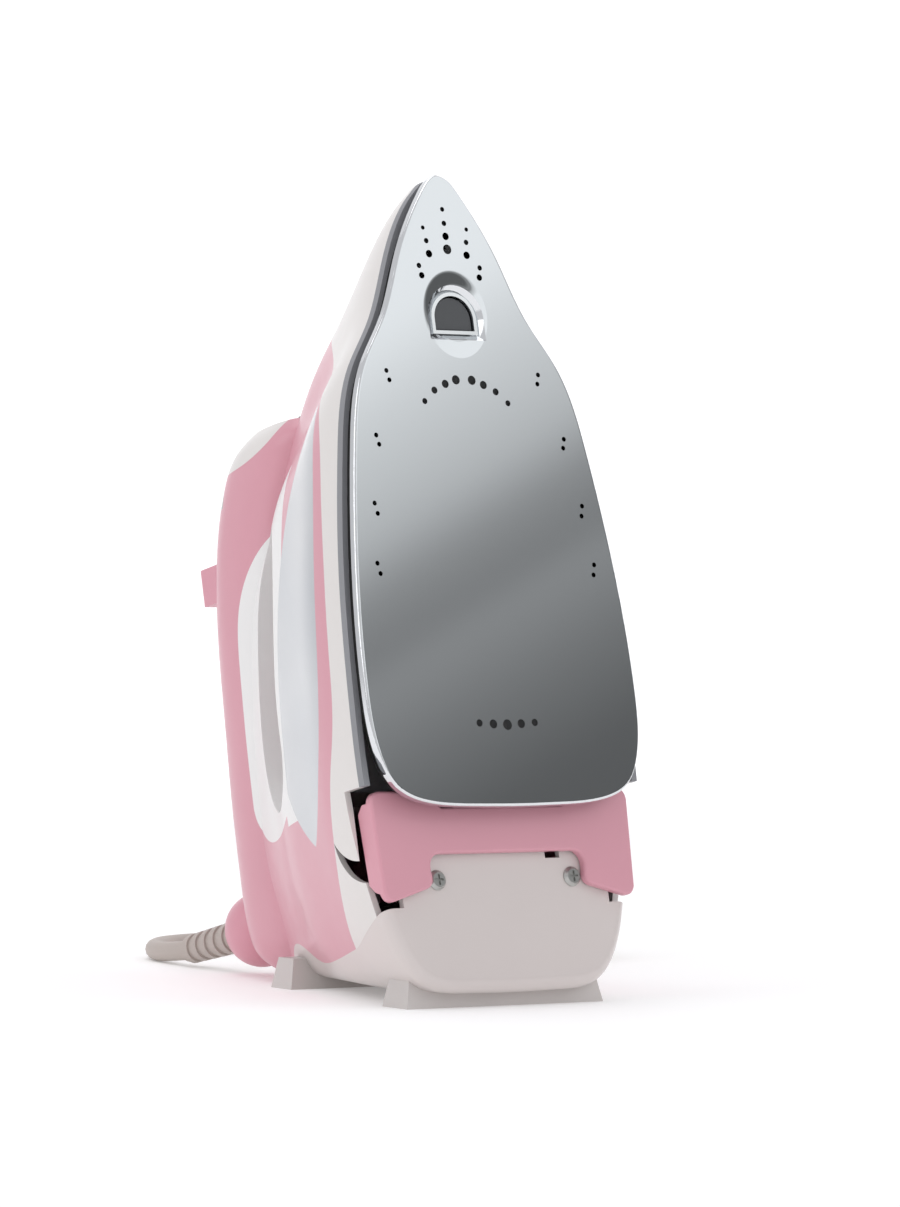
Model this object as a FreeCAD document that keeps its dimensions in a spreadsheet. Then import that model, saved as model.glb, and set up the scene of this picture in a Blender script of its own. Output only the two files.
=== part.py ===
import FreeCAD, Part
import math
import os
import re

# A steam iron that lifts itself. It is drawn lying along its soleplate: X is sideways, Y is the
# depth from the plate's polished face towards the handle, and Z runs along the plate from its
# rear edge (0) to its tip. One placement then stands it on its heel, leaning back by `lean`.

Vector = FreeCAD.Vector
Rotation = FreeCAD.Rotation
Placement = FreeCAD.Placement

os.makedirs("parts", exist_ok=True)
doc = FreeCAD.newDocument("steam_iron")

# ---------------------------------------------------------------- driving dimensions, mm, degrees
SIZES = {
    # the whole iron
    "lean": 13.56,              # how far the plate leans back when the iron stands
    "rear_edge_height": 70.6,   # height of the plate's rear edge above the floor
    "plate_length": 230.0,
    "plate_width": 118.2,
    "body_overhang": 0.7,       # how far the shells stand out past the plate, each side
    "heel_length": 64.0,        # from the plate's rear edge down to the heel's front lip
    "wall": 2.4,                # moulded shells
    # soleplate and what is stacked on it
    "plate_thickness": 3.0,
    "shield_depth": 4.0,
    "rim_depth": 3.0,
    "casting_depth": 11.0,
    "cover_thickness": 1.2,
    "element_radius": 3.5,
    # the D-shaped front leg
    "leg_place": 177.0,         # centre of the leg's round side
    "leg_half_width": 8.2,
    "leg_flat": 4.0,
    "leg_gap": 0.3,
    "guide_wall": 1.3,
    "leg_height": 29.4,
    "leg_travel": 20.0,
    "leg_pinion_depth": 38.0,
    "leg_face": 2.2,
    # gears
    "gear_module": 0.8,
    "gear_play": 0.12,
    "gear_width": 5.0,
    "pinion_bore": 1.5,
    "running_gap": 0.05,
    # the rear bracket
    "pivot_depth": 16.0,
    "pivot_place": -6.0,
    "bracket_face": 9.5,
    "bracket_width": 112.6,
    "bracket_skin": 3.0,
    "bracket_leg_width": 23.0,
    "bracket_leg_end": -31.0,
    "shaft_radius": 2.0,
    "bush_radius": 3.0,
    "bush_place": 27.5,
    "bush_width": 3.0,
    # handle, controls
    "button_length": 14.0,
    "button_width": 12.5,
    "button_place": 113.0,
    "button_top": 161.0,
    "button_gap": 0.4,
    "button_travel": 4.0,
    "dial_radius": 15.0,
    "dial_place": 62.0,
    "dial_height": 7.0,
    "dial_shaft_radius": 3.0,
    "deck_depth": 75.5,
    # heel
    "heel_face": 13.0,
    "heel_width": 96.0,
    "foot_height": 11.0,
    "screw_radius": 3.6,
    # cord
    "ball_radius": 14.0,
    "ball_y": 158.0,
    "ball_z": 17.0,
    "ball_gap": 0.35,
    "boot_length": 36.0,
    "cord_diameter": 7.5,
    "coil_diameter": 90.0,
    "coil_width": 24.0,
    "coil_height": 22.5,
    "coil_x": 117.0,
    "coil_y": 215.0,
}

# The plate's length and width that the outlines and stations below are drawn for.
BASE_LENGTH = 230.0
BASE_WIDTH = 118.2

sheet = doc.addObject("Spreadsheet::Sheet", "Sizes")
for row, (alias, value) in enumerate(SIZES.items(), start=1):
    sheet.set(f"A{row}", alias)
    sheet.set(f"B{row}", str(value))
    sheet.setAlias(f"B{row}", alias)
doc.recompute()


def size(alias):
    return float(getattr(sheet, alias))


def linked(formula):
    """The same formula with each of the sheet's names made a link to its cell."""
    return re.sub(r"[a-z]+(_[a-z]+)+|\bwall\b|\blean\b", r"Sizes.\g<0>", str(formula))


def bind(item, **formulas):
    for name, formula in formulas.items():
        item.setExpression(name.replace("__", "."), linked(formula))


# ---------------------------------------------------------------- the list of sub-parts
subparts = {}
cord_parts = []


def keep(item, label, on_cord=False):
    """Makes `item` a sub-part with the name `label`."""
    item.Label = label
    subparts[label] = item
    if on_cord:
        cord_parts.append(label)
    return item


# ---------------------------------------------------------------- drawing helpers
ALONG = {
    "x": Rotation(Vector(0, 1, 0), 90),
    "y": Rotation(Vector(1, 0, 0), -90),
    "z": Rotation(),
}
PLAN_TURN = Rotation(Vector(1, 0, 0), 90)         # sketch x, y become X, Z; its normal is -Y
SIDE_TURN = Rotation(Vector(1, 1, 1), 120)        # sketch x, y become Y, Z; its normal is +X


def curve(points, start=None, end=None):
    """A spline through the points, or a line where there are only two."""
    if len(points) == 2:
        return Part.LineSegment(Vector(*points[0]), Vector(*points[1]))
    spline = Part.BSplineCurve()
    vectors = [Vector(*point) for point in points]
    if start:
        spline.interpolate(Points=vectors, InitialTangent=Vector(*start), FinalTangent=Vector(*end))
    else:
        spline.interpolate(Points=vectors)
    return spline


def mirrored_outline(half):
    """A closed outline from the points of its +x side, first and last of them on x = 0."""
    right = [Vector(*point) for point in half]
    left = [Vector(-point.x, point.y, point.z) for point in reversed(right[1:-1])]
    ring = Part.BSplineCurve()
    ring.interpolate(Points=right + left, PeriodicFlag=True)
    return [ring]


def free_sketch(name, curves, turn, base=(0, 0, 0)):
    item = doc.addObject("Sketcher::SketchObject", name)
    item.addGeometry(curves, False)
    item.Placement = Placement(Vector(*base), turn)
    return item


def box(name, x, y, z):
    """A block; each of x, y and z is a (low, high) pair of numbers or formulas."""
    item = doc.addObject("Part::Box", name)
    for side, place, (low, high) in (("Length", "x", x), ("Width", "y", y), ("Height", "z", z)):
        item.setExpression(side, linked(f"({high}) - ({low})"))
        item.setExpression(f"Placement.Base.{place}", linked(low))
    return item


def rod(name, along, radius, length, x=0, y=0, z=0):
    """A cylinder from (x, y, z) towards + along its axis."""
    item = doc.addObject("Part::Cylinder", name)
    item.Placement.Rotation = ALONG[along]
    bind(item, Radius=radius, Height=length)
    bind(item, Placement__Base__x=x, Placement__Base__y=y, Placement__Base__z=z)
    return item


def cone(name, along, radius, end_radius, length, x=0, y=0, z=0):
    item = doc.addObject("Part::Cone", name)
    item.Placement.Rotation = ALONG[along]
    bind(item, Radius1=radius, Radius2=end_radius, Height=length)
    bind(item, Placement__Base__x=x, Placement__Base__y=y, Placement__Base__z=z)
    return item


def fuse(name, *items):
    item = doc.addObject("Part::MultiFuse", name)
    item.Shapes = list(items)
    return item


def common(name, base, tool):
    item = doc.addObject("Part::Common", name)
    item.Base = base
    item.Tool = tool
    return item


def cut(name, base, *tools):
    """`base` without the tools."""
    item = doc.addObject("Part::Cut", name)
    item.Base = base
    item.Tool = tools[0] if len(tools) == 1 else fuse(f"{name}_tools", *tools)
    return item


def group(name, *items):
    """Several separate solids in one node, such as a pair of equal screws."""
    item = doc.addObject("Part::Compound", name)
    item.Links = list(items)
    return item


def stretched(place):
    """A place along the iron, which moves with the plate's length where it lies above the heel."""
    return place * size("plate_length") / BASE_LENGTH if place > 0 else place


def side_region(name, *runs):
    """A block across the whole iron, whose outline is drawn in the side view, (depth, place)."""
    curves = [curve([(depth, stretched(place), 0) for depth, place in run]) for run in runs]
    outline = free_sketch(f"{name}_outline", curves, SIDE_TURN)
    item = doc.addObject("Part::Extrusion", name)
    item.Base = outline
    item.DirMode = "Custom"
    item.Dir = Vector(1, 0, 0)
    item.Symmetric = True
    item.Solid = True
    bind(item, LengthFwd="plate_width + 40")
    return item


def rounded(name, base, radius, chosen):
    """`base` with those edges rounded for which chosen(edge) is true."""
    doc.recompute()
    item = doc.addObject("Part::Fillet", name)
    item.Base = base
    picked = [n for n, edge in enumerate(base.Shape.Edges, start=1) if chosen(edge)]
    item.Edges = [(n, radius, radius) for n in picked]
    return item


# ---------------------------------------------------------------- the plate's outline
PLATE_SIDE = [
    (0, 230), (4.6, 228), (8.2, 223.7), (21.5, 200.7), (31.7, 177), (42.5, 160), (51, 130),
    (57.1, 83), (59.1, 40), (56.7, 18.7), (50, 6.8), (38, 1.8), (20, 0.3), (0, 0),
]
TIP_SHARPNESS = 2.2       # an inset moves the sharp tip back by this many times as much


def plate_curves(inset=0.0, depth=0.0):
    """The plate's outline moved inwards; in a plan sketch, or at a depth when one is given."""
    half_width = size("plate_width") / 2
    length = size("plate_length")
    across = (half_width - inset) / max(x for x, z in PLATE_SIDE)
    along = (length - inset - TIP_SHARPNESS * inset) / BASE_LENGTH
    half = [(x * across, inset + z * along, depth) for x, z in PLATE_SIDE]
    return mirrored_outline(half)


def plate_pad(name, inset, low, high):
    """A flat slab of the plate's shape between two depths."""
    outline = free_sketch(f"{name}_outline", plate_curves(inset), PLAN_TURN)
    bind(outline, Placement__Base__y=low)
    item = doc.addObject("Part::Extrusion", name)
    item.Base = outline
    item.DirMode = "Custom"
    item.Dir = Vector(0, 1, 0)
    item.Solid = True
    bind(item, LengthFwd=f"({high}) - ({low})")
    return item


# ---------------------------------------------------------------- the shells' outer form
BODY_SIDE = [
    (0, 1.0), (4.2, 0.993), (8.6, 0.978), (21.7, 0.902), (31.9, 0.821), (42.8, 0.763), (51.3, 0.661),
    (57.5, 0.500), (59.6, 0.353), (58.8, 0.216), (53.5, 0.114), (47, 0.048), (38, 0.012),
    (20, 0.001), (0, 0),
]
# depth, front end, rear end, share of the full width
BODY_LEVELS = [
    (7, 229.3, -64.5, 1.0),
    (20, 226.0, -63.0, 1.005),
    (32, 217.0, -60.5, 0.985),
    (46, 206.0, -57.5, 0.915),
    (62, 194.5, -54.0, 0.83),
    (78, 183.0, -50.0, 0.74),
    (97, 165.5, -45.5, 0.58),
    (116, 150.0, -41.0, 0.43),
    (134, 136.0, -37.0, 0.30),
]


def ring_poles(points, parameters):
    """A smooth closed curve through the points, as its B-spline."""
    ring = Part.BSplineCurve()
    ring.interpolate(Points=points, PeriodicFlag=True, Parameters=parameters)
    return ring


def skinned(name, rings, places):
    """A smooth solid through closed rings of points that lie at the given places, in order."""
    first = rings[0]
    parameters = [0.0]
    for here, there in zip(first, first[1:] + first[:1]):
        parameters.append(parameters[-1] + here.distanceToPoint(there))
    splines = [ring_poles(ring, parameters) for ring in rings]
    rows = []
    for index in range(splines[0].NbPoles):
        across = Part.BSplineCurve()
        across.interpolate(Points=[s.getPole(index + 1) for s in splines], Parameters=places)
        rows.append(across)
    surface = Part.BSplineSurface()
    surface.buildFromPolesMultsKnots(
        [row.getPoles() for row in rows],
        splines[0].getMultiplicities(), rows[0].getMultiplicities(),
        splines[0].getKnots(), rows[0].getKnots(),
        True, False, splines[0].Degree, rows[0].Degree)
    side = surface.toShape()
    ends = [edge for edge in side.Edges if edge.isClosed()]
    caps = [Part.Face(Part.Wire([edge])) for edge in ends]
    shell = Part.makeShell([side] + caps)
    item = doc.addObject("Part::Feature", name)
    solid = Part.makeSolid(shell)
    solid.fix(1e-6, 1e-6, 1e-5)
    item.Shape = solid
    return item


def body_form(name, inset):
    """The lower body as a stack of plan outlines, each moved inwards by `inset`."""
    rings = []
    for depth, front, rear, share in BODY_LEVELS:
        half_width = (size("plate_width") / 2 + size("body_overhang")) * share - inset
        across = half_width / max(x for x, t in BODY_SIDE)
        front_end = stretched(front) - TIP_SHARPNESS * inset
        rear_end = rear * size("heel_length") / 64 + inset
        right = [Vector(x * across, depth, rear_end + t * (front_end - rear_end))
                 for x, t in BODY_SIDE]
        left = [Vector(-p.x, p.y, p.z) for p in reversed(right[1:-1])]
        rings.append(right + left)
    return skinned(name, rings, [float(level[0]) for level in BODY_LEVELS])


# place along the plate, underside depth, top depth, half width
GRIP_STATIONS = [
    (-36, 122, 143, 11),
    (-30, 115, 151, 18),
    (-20, 110.5, 156.5, 21),
    (0, 109, 159.5, 20.5),
    (30, 110, 160.5, 19.5),
    (60, 111, 158.5, 19.5),
    (85, 111, 156, 20),
    (107, 109, 153, 20),
    (129, 103, 148, 19.5),
    (148, 91, 141, 18),
    (158, 87.5, 132, 15.5),
    (163, 91, 124, 11),
]
SQUARENESS = 2.6          # exponent of the grip's section: 2 is an ellipse, more is squarer
SECTION_POINTS = 16


def grip_form(name, inset):
    """The handle as a stack of rounded sections along the plate's direction."""
    rings = []
    places = []
    spread = size("plate_width") / BASE_WIDTH
    for place, low, high, half_width in GRIP_STATIONS:
        across = half_width * spread - inset
        tall = (high - low) / 2 - inset
        along = stretched(place) + (inset if place < 60 else -inset)
        ring = []
        for step in range(SECTION_POINTS):
            turn = 2 * math.pi * step / SECTION_POINTS
            x = across * math.copysign(abs(math.cos(turn)) ** (2 / SQUARENESS), math.cos(turn))
            y = tall * math.copysign(abs(math.sin(turn)) ** (2 / SQUARENESS), math.sin(turn))
            ring.append(Vector(x, (high + low) / 2 + y, along))
        rings.append(ring)
        places.append(float(along))
    return skinned(name, rings, places)


# ---------------------------------------------------------------- the shells
outer_low = body_form("outer_low", 0)
outer_grip = grip_form("outer_grip", 0)
inner_low = body_form("inner_low", size("wall"))
inner_grip = grip_form("inner_grip", size("wall"))

# The finger gap under the grip, and the same gap grown by the wall round it.
GAP_POINTS = [
    (75.5, 40), (75.5, 70), (75.5, 102), (82, 119), (97, 116), (109, 99), (112.5, 80), (113.5, 60),
    (113, 40), (105, 22), (89, 16), (78.5, 23),
]


def finger_gap(name, growth):
    middle_depth = 94
    middle_place = stretched(68)
    points = []
    for depth, place in GAP_POINTS:
        away = Vector(depth - middle_depth, stretched(place) - middle_place, 0)
        pull = Vector(away.x / 19, away.y / stretched(52), 0)
        away = away + pull * (growth / pull.Length)
        points.append(Vector(middle_depth + away.x, middle_place + away.y, 0))
    ring = Part.BSplineCurve()
    ring.interpolate(Points=points, PeriodicFlag=True)
    outline = free_sketch(f"{name}_outline", [ring], SIDE_TURN)
    item = doc.addObject("Part::Extrusion", name)
    item.Base = outline
    item.DirMode = "Custom"
    item.Dir = Vector(1, 0, 0)
    item.Symmetric = True
    item.Solid = True
    bind(item, LengthFwd="plate_width + 40")
    return item


gap = finger_gap("gap", 0)
gap_wall = finger_gap("gap_wall", size("wall"))
outer = cut("outer", fuse("outer_all", outer_low, outer_grip), gap)
inner = cut("inner", fuse("inner_all", inner_low, inner_grip), gap_wall)
shell = cut("shell", outer, inner)

# The bracket swings in this room, and its legs fold into the notch at the skirt's lower front.
swing_half = "plate_width / 2 + body_overhang - wall - 0.2"
swing_room = rod("swing_room", "x", 17, f"({swing_half}) * 2", f"-({swing_half})", "pivot_depth",
                 "pivot_place")
leg_notch = box("leg_notch", (-80, 80), (0, 19), ("bracket_leg_end - 4", 9.5))
rear_room = fuse("rear_room", swing_room, leg_notch)

heel_region = side_region(
    "heel_region",
    [(0, -31.5), (18, -34.5), (32, -39.5), (44.5, -42)],
    [(44.5, -42), (70, -42), (90, -39), (106, -31), (116, -29), (126, -36), (130, -60)],
    [(130, -60), (130, -95)], [(130, -95), (0, -95)], [(0, -95), (0, -31.5)],
)
skirt_region = side_region(
    "skirt_region",
    [(75, 192), (51, 178), (33, 160), (24, 143), (20.5, 118), (19, 90), (19.2, 60), (21.5, 32),
     (28, 12), (34, -9), (41, -27), (44.5, -42)],
    [(44.5, -42), (44.5, -60)], [(44.5, -60), (0, -60)], [(0, -60), (0, 240)], [(0, 240), (75, 240)],
    [(75, 240), (75, 192)],
)
lens_prism = side_region(
    "lens_prism",
    [(30, 152), (26.5, 120), (26, 85), (29, 45), (38, 15), (52, -4)],
    [(52, -4), (64, 6), (73, 19)],
    [(73, 19), (72, 45), (69.5, 75), (64, 103), (51, 130), (30, 152)],
)
MIDDLE_HALF = 33          # the side windows stay this far from the middle plane
lens_region = cut("lens_region", lens_prism, box("lens_middle", (-MIDDLE_HALF, MIDDLE_HALF), (0, 170),
                                                 (-80, 240)))
nose_region = side_region(
    "nose_region",
    [(150, 150), (124, 150), (108, 153), (99.5, 158), (96.5, 163), (95, 174)],
    [(95, 174), (150, 174)], [(150, 174), (150, 150)],
)
window_region = side_region(
    "window_region",
    [(134, 138), (134, 154)], [(134, 154), (160, 154)], [(160, 154), (160, 138)],
    [(160, 138), (134, 138)],
)
liner_region = side_region(
    "liner_region",
    [(78, 138), (90, 135), (104, 127), (118, 114), (128, 98), (132, 76), (134, 50), (134, 25)],
    [(134, 25), (129, 15), (118, 9.5), (104, 8), (90, 9), (78, 12)],
    [(78, 12), (78, 138)],
)
deck_region = box("deck_region", ("-plate_width", "plate_width"), (64, 78),
                  (stretched(8), stretched(138)))
top_region = side_region(
    "top_region",
    [(127, 180), (127, -10)],
    [(127, -10), (128, -24), (131, -60)],
    [(131, -60), (190, -60)], [(190, -60), (190, 180)], [(190, 180), (127, 180)],
)
rim_region = box("rim_region", ("-plate_width", "plate_width"),
                 ("plate_thickness + shield_depth", "plate_thickness + shield_depth + rim_depth"),
                 (9.5, 240))


def shell_piece(name, region, *without):
    """The part of the shell in one region, outside of the regions that come before it."""
    piece = common(f"{name}_raw", shell, region)
    return cut(name, piece, *without) if without else piece


# ---------------------------------------------------------------- soleplate and heater
STEAM_HOLES = [            # x, place, radius; those off the middle line are a pair
    (0, 217.2, 0.9), (0, 212.0, 1.0), (0, 207.2, 1.4), (0, 202.4, 1.8),
    (9.6, 210.1, 0.8), (8.8, 205.3, 1.0), (8.3, 200.5, 1.4),
    (13.4, 196.0, 1.0), (12.7, 192.4, 1.2),
    (3.5, 154.3, 1.7), (8.4, 152.7, 1.5), (13.5, 150.3, 1.3), (18.3, 146.2, 1.1),
    (33.4, 157.0, 0.9), (32.6, 153.6, 0.9), (41.3, 133.4, 0.9), (40.5, 130.1, 0.9),
    (45.6, 108.8, 0.9), (44.8, 105.1, 0.9), (47.6, 87.2, 0.9), (46.8, 83.5, 0.9),
    (0, 29.2, 1.9), (6.1, 29.5, 1.6), (12.1, 29.9, 1.3),
]
RECESS_SLOPE = 45         # degrees, the pressed dish round the leg's hole
RECESS_DEPTH = 2.4


def d_curves(extra):
    """The leg's D outline in a plan sketch, grown by `extra`."""
    reach = size("leg_half_width") + extra
    centre = size("leg_place")
    flat = centre - size("leg_flat") - extra
    low_left = Vector(-reach, flat, 0)
    low_right = Vector(reach, flat, 0)
    right = Vector(reach, centre, 0)
    left = Vector(-reach, centre, 0)
    return [
        Part.LineSegment(low_left, low_right),
        Part.LineSegment(low_right, right),
        Part.Arc(right, Vector(0, centre + reach, 0), left),
        Part.LineSegment(left, low_left),
    ]


def d_prism(name, extra, low, high, taper=0):
    """A block of the D outline between two depths."""
    outline = free_sketch(f"{name}_outline", d_curves(extra), PLAN_TURN)
    bind(outline, Placement__Base__y=low)
    item = doc.addObject("Part::Extrusion", name)
    item.Base = outline
    item.DirMode = "Custom"
    item.Dir = Vector(0, 1, 0)
    item.Solid = True
    item.TaperAngle = taper
    bind(item, LengthFwd=f"({high}) - ({low})")
    return item


def plan_sketch(body, name, curves):
    """A sketch on the body's own plan plane, where x, y are X, Z and the normal is -Y."""
    sketch = body.newObject("Sketcher::SketchObject", name)
    plane = next(f for f in body.Origin.OriginFeatures if f.Role == "XZ_Plane")
    sketch.AttachmentSupport = (plane, [""])
    sketch.MapMode = "FlatFace"
    sketch.addGeometry(curves, False)
    return sketch


guide_reach = size("leg_gap") + size("guide_wall")

plate_body = doc.addObject("PartDesign::Body", "plate_body")
plate_face = plate_body.newObject("PartDesign::Pad", "plate_face")
plate_face.Profile = plan_sketch(plate_body, "plate_outline", plate_curves())
plate_face.Reversed = True
bind(plate_face, Length="plate_thickness")
holes = []
for x, place, radius in STEAM_HOLES:
    for side in ((x, -x) if x else (0,)):
        holes.append(Part.Circle(Vector(side, place, 0), Vector(0, 0, 1), radius))
steam_holes = plate_body.newObject("PartDesign::Pocket", "steam_holes")
steam_holes.Profile = plan_sketch(plate_body, "hole_circles", holes)
steam_holes.Type = "Length"
steam_holes.SideType = "Symmetric"
bind(steam_holes, Length="plate_thickness * 4")
doc.recompute()
hole_walls = [face for face in steam_holes.Shape.Faces if isinstance(face.Surface, Part.Cylinder)]
through_area = sum(2 * math.pi * circle.Radius for circle in holes) * size("plate_thickness")
print(f"{len(hole_walls)} steam holes, {sum(wall.Area for wall in hole_walls) / through_area:.4f} through")
assert len(hole_walls) == len(holes), "some steam holes cut nothing"
assert abs(sum(wall.Area for wall in hole_walls) / through_area - 1) < 0.001, "a steam hole isn't through"
plate_hole = d_prism("plate_hole", guide_reach, -1, "plate_thickness + 1")
plate_dish = d_prism("plate_dish", guide_reach + RECESS_DEPTH, 0, RECESS_DEPTH, -RECESS_SLOPE)
plate_cut = cut("plate_cut", plate_body, plate_hole, plate_dish)


def on_plate_rim(edge):
    """True for the long outer edges of the plate's polished face."""
    flat = abs(edge.BoundBox.YMax) < 0.01
    return flat and edge.Length > size("plate_length")


keep(rounded("plate_rounded", plate_cut, 1.0, on_plate_rim), "soleplate")

shield_low = "plate_thickness"
shield_high = "plate_thickness + shield_depth"
shield = cut("shield_ring", plate_pad("shield_slab", 1.7, shield_low, shield_high),
             plate_pad("shield_middle", 8.5, 0, "rim_depth + 20"))
keep(cut("shield", shield, d_prism("shield_leg", guide_reach + 1, 0, 20)), "heat_shield")

casting_low = "plate_thickness"
casting_high = "plate_thickness + casting_depth"
ELEMENT_DEPTH = 9.0
ELEMENT_HALF_SPAN = 27.0
ELEMENT_REAR = 34.0
ELEMENT_FRONT = 118.0


def element_tube(name, radius):
    """The U-shaped heating tube, whose two ends turn up through the casting."""
    span = ELEMENT_HALF_SPAN
    depth = ELEMENT_DEPTH
    bend = 9.0
    rise = depth + bend
    top = 22.0
    diagonal = bend * (1 - math.sqrt(0.5))

    def leg(side):
        return [
            Part.LineSegment(Vector(side, top, ELEMENT_REAR), Vector(side, rise, ELEMENT_REAR)),
            Part.Arc(Vector(side, rise, ELEMENT_REAR),
                     Vector(side, depth + diagonal, ELEMENT_REAR + diagonal),
                     Vector(side, depth, ELEMENT_REAR + bend)),
            Part.LineSegment(Vector(side, depth, ELEMENT_REAR + bend),
                             Vector(side, depth, ELEMENT_FRONT)),
        ]

    front = Part.Arc(Vector(span, depth, ELEMENT_FRONT), Vector(0, depth, ELEMENT_FRONT + span),
                     Vector(-span, depth, ELEMENT_FRONT))
    path = Part.Wire([c.toShape() for c in leg(span) + [front]]
                     + [c.toShape() for c in reversed(leg(-span))])
    ring = Part.Wire([Part.Circle(Vector(span, top, ELEMENT_REAR), Vector(0, 1, 0), radius).toShape()])
    item = doc.addObject("Part::Feature", name)
    item.Shape = path.makePipeShell([ring], True, True)
    return item


element = element_tube("element", size("element_radius"))
keep(group("element_group", element), "heating_element")
casting = cut(
    "casting", plate_pad("casting_slab", 12, casting_low, casting_high),
    d_prism("casting_leg", guide_reach + 0.1, 0, 40), element_tube("element_bed", size("element_radius")),
    box("steam_pool", (-17, 17), ("plate_thickness + casting_depth - 5", 40), (50, 150)))
keep(casting, "heater_casting")

cover_low = casting_high
cover_high = "plate_thickness + casting_depth + cover_thickness"
chamber_cover = common("cover_slab", plate_pad("cover_plate", 18, cover_low, cover_high),
                       box("cover_limits", (-24, 24), (0, 40), (40, 160)))
keep(chamber_cover, "steam_chamber_cover")

# ---------------------------------------------------------------- gears
PRESSURE_ANGLE = math.radians(20)
ADDENDUM = 0.7            # of the module; short teeth, so that small pinions aren't undercut
DEDENDUM = 1.0


def polar(radius, turn):
    return (radius * math.cos(turn), radius * math.sin(turn), 0)


def gear_face(teeth, turn):
    """The outline of an involute gear round the origin, in X and Y, one tooth centred at `turn`."""
    module = size("gear_module")
    pitch = module * teeth / 2
    base = pitch * math.cos(PRESSURE_ANGLE)
    tip = pitch + ADDENDUM * module
    root = pitch - DEDENDUM * module
    half_at_pitch = math.pi / (2 * teeth) - size("gear_play") / (2 * pitch)
    involute = math.tan(PRESSURE_ANGLE) - PRESSURE_ANGLE

    def half_angle(radius):
        slope = math.acos(min(1.0, base / radius))
        return half_at_pitch + involute - (math.tan(slope) - slope)

    start = max(base, root)
    radii = [start + (tip - start) * n / 4 for n in range(5)]
    edges = []
    for tooth in range(teeth):
        middle = turn + 2 * math.pi * tooth / teeth
        following = turn + 2 * math.pi * (tooth + 1) / teeth
        rise = [polar(r, middle - half_angle(r)) for r in radii]
        fall = [polar(r, middle + half_angle(r)) for r in reversed(radii)]
        next_rise = polar(radii[0], following - half_angle(radii[0]))
        root_out = polar(root, middle + half_angle(start))
        root_in = polar(root, following - half_angle(start))
        edges.append(curve(rise).toShape())
        edges.append(Part.LineSegment(Vector(*rise[-1]), Vector(*fall[0])).toShape())
        edges.append(curve(fall).toShape())
        corners = [fall[-1], root_out, root_in, next_rise]
        for here, there in zip(corners, corners[1:]):
            if math.dist(here, there) > 1e-6:
                edges.append(Part.LineSegment(Vector(*here), Vector(*there)).toShape())
    return Part.Face(Part.Wire(edges))


def gear(name, teeth, turn, low_x, depth, place, bore):
    """A gear across the iron, its axis along X; turn 0 points a tooth towards +Y."""
    item = doc.addObject("Part::Feature", name)
    blank = gear_face(teeth, turn).extrude(Vector(0, 0, size("gear_width")))
    hole = Part.makeCylinder(bore, size("gear_width"))
    wheel = blank.cut(hole) if bore else blank
    wheel.Placement = Placement(Vector(low_x, depth, place), SIDE_TURN)
    item.Shape = wheel
    return item


GEAR_TEETH = 24
PINION_TEETH = 12
gear_pitch = size("gear_module") * GEAR_TEETH / 2
pinion_pitch = size("gear_module") * PINION_TEETH / 2
half_pinion_tooth = math.pi / PINION_TEETH

# ---------------------------------------------------------------- the front leg and its drive
keep(cut("guide", d_prism("guide_out", guide_reach, 1.2, casting_high),
         d_prism("guide_in", size("leg_gap"), 0, 40)), "leg_guide")
leg_top = "leg_face + leg_height"
column = d_prism("column", 0, "leg_face", leg_top)


def on_leg_face(edge):
    box_of_edge = edge.BoundBox
    return abs(box_of_edge.YMax - size("leg_face")) < 0.01


keep(rounded("column_rounded", column, 0.6, on_leg_face), "front_leg")

rack_line = size("leg_place") + 0.8
RACK_HALF_WIDTH = 2.5
RACK_BACK = 4.0


def rack_shape():
    """A straight rack whose teeth point to the rear; one tooth is centred on the pinion."""
    module = size("gear_module")
    step = math.pi * module
    lean_of_flank = math.tan(PRESSURE_ANGLE)
    half_tooth = step / 4 - size("gear_play") / 2
    tip = rack_line - ADDENDUM * module
    root = rack_line + DEDENDUM * module
    half_tip = half_tooth - ADDENDUM * module * lean_of_flank
    half_root = half_tooth + DEDENDUM * module * lean_of_flank
    middle = size("leg_pinion_depth")
    low = size("leg_face") + size("leg_height")
    high = middle + size("leg_travel") + 4
    first = math.ceil((low + half_root - middle) / step)
    last = math.floor((high - half_root - middle) / step)
    points = [(low, root)]
    for number in range(first, last + 1):
        centre = middle + number * step
        points += [(centre - half_root, root), (centre - half_tip, tip),
                   (centre + half_tip, tip), (centre + half_root, root)]
    points += [(high, root), (high, root + RACK_BACK), (low, root + RACK_BACK)]
    corners = [Vector(-RACK_HALF_WIDTH, depth, place) for depth, place in points]
    face = Part.Face(Part.makePolygon(corners + corners[:1]))
    return face.extrude(Vector(2 * RACK_HALF_WIDTH, 0, 0))


rack = doc.addObject("Part::Feature", "rack")
rack.Shape = rack_shape()
keep(rack, "leg_rack")

leg_axis_place = rack_line - pinion_pitch
leg_pinion = gear("leg_pinion_teeth", PINION_TEETH, math.pi / 2 + half_pinion_tooth, -2.5,
                  size("leg_pinion_depth"), leg_axis_place, 0)
leg_pinion_shaft = rod("leg_pinion_shaft", "x", "pinion_bore", 9, 2, "leg_pinion_depth", leg_axis_place)
keep(fuse("leg_pinion_fused", leg_pinion, leg_pinion_shaft), "leg_pinion")
leg_motor = cut("leg_motor_cut", rod("leg_motor_can", "x", 5.5, 16, 3.2, "leg_pinion_depth", leg_axis_place),
                rod("leg_motor_bore", "x", "pinion_bore + running_gap", 9, 2.5, "leg_pinion_depth",
                    leg_axis_place))
keep(leg_motor, "leg_motor")

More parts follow.
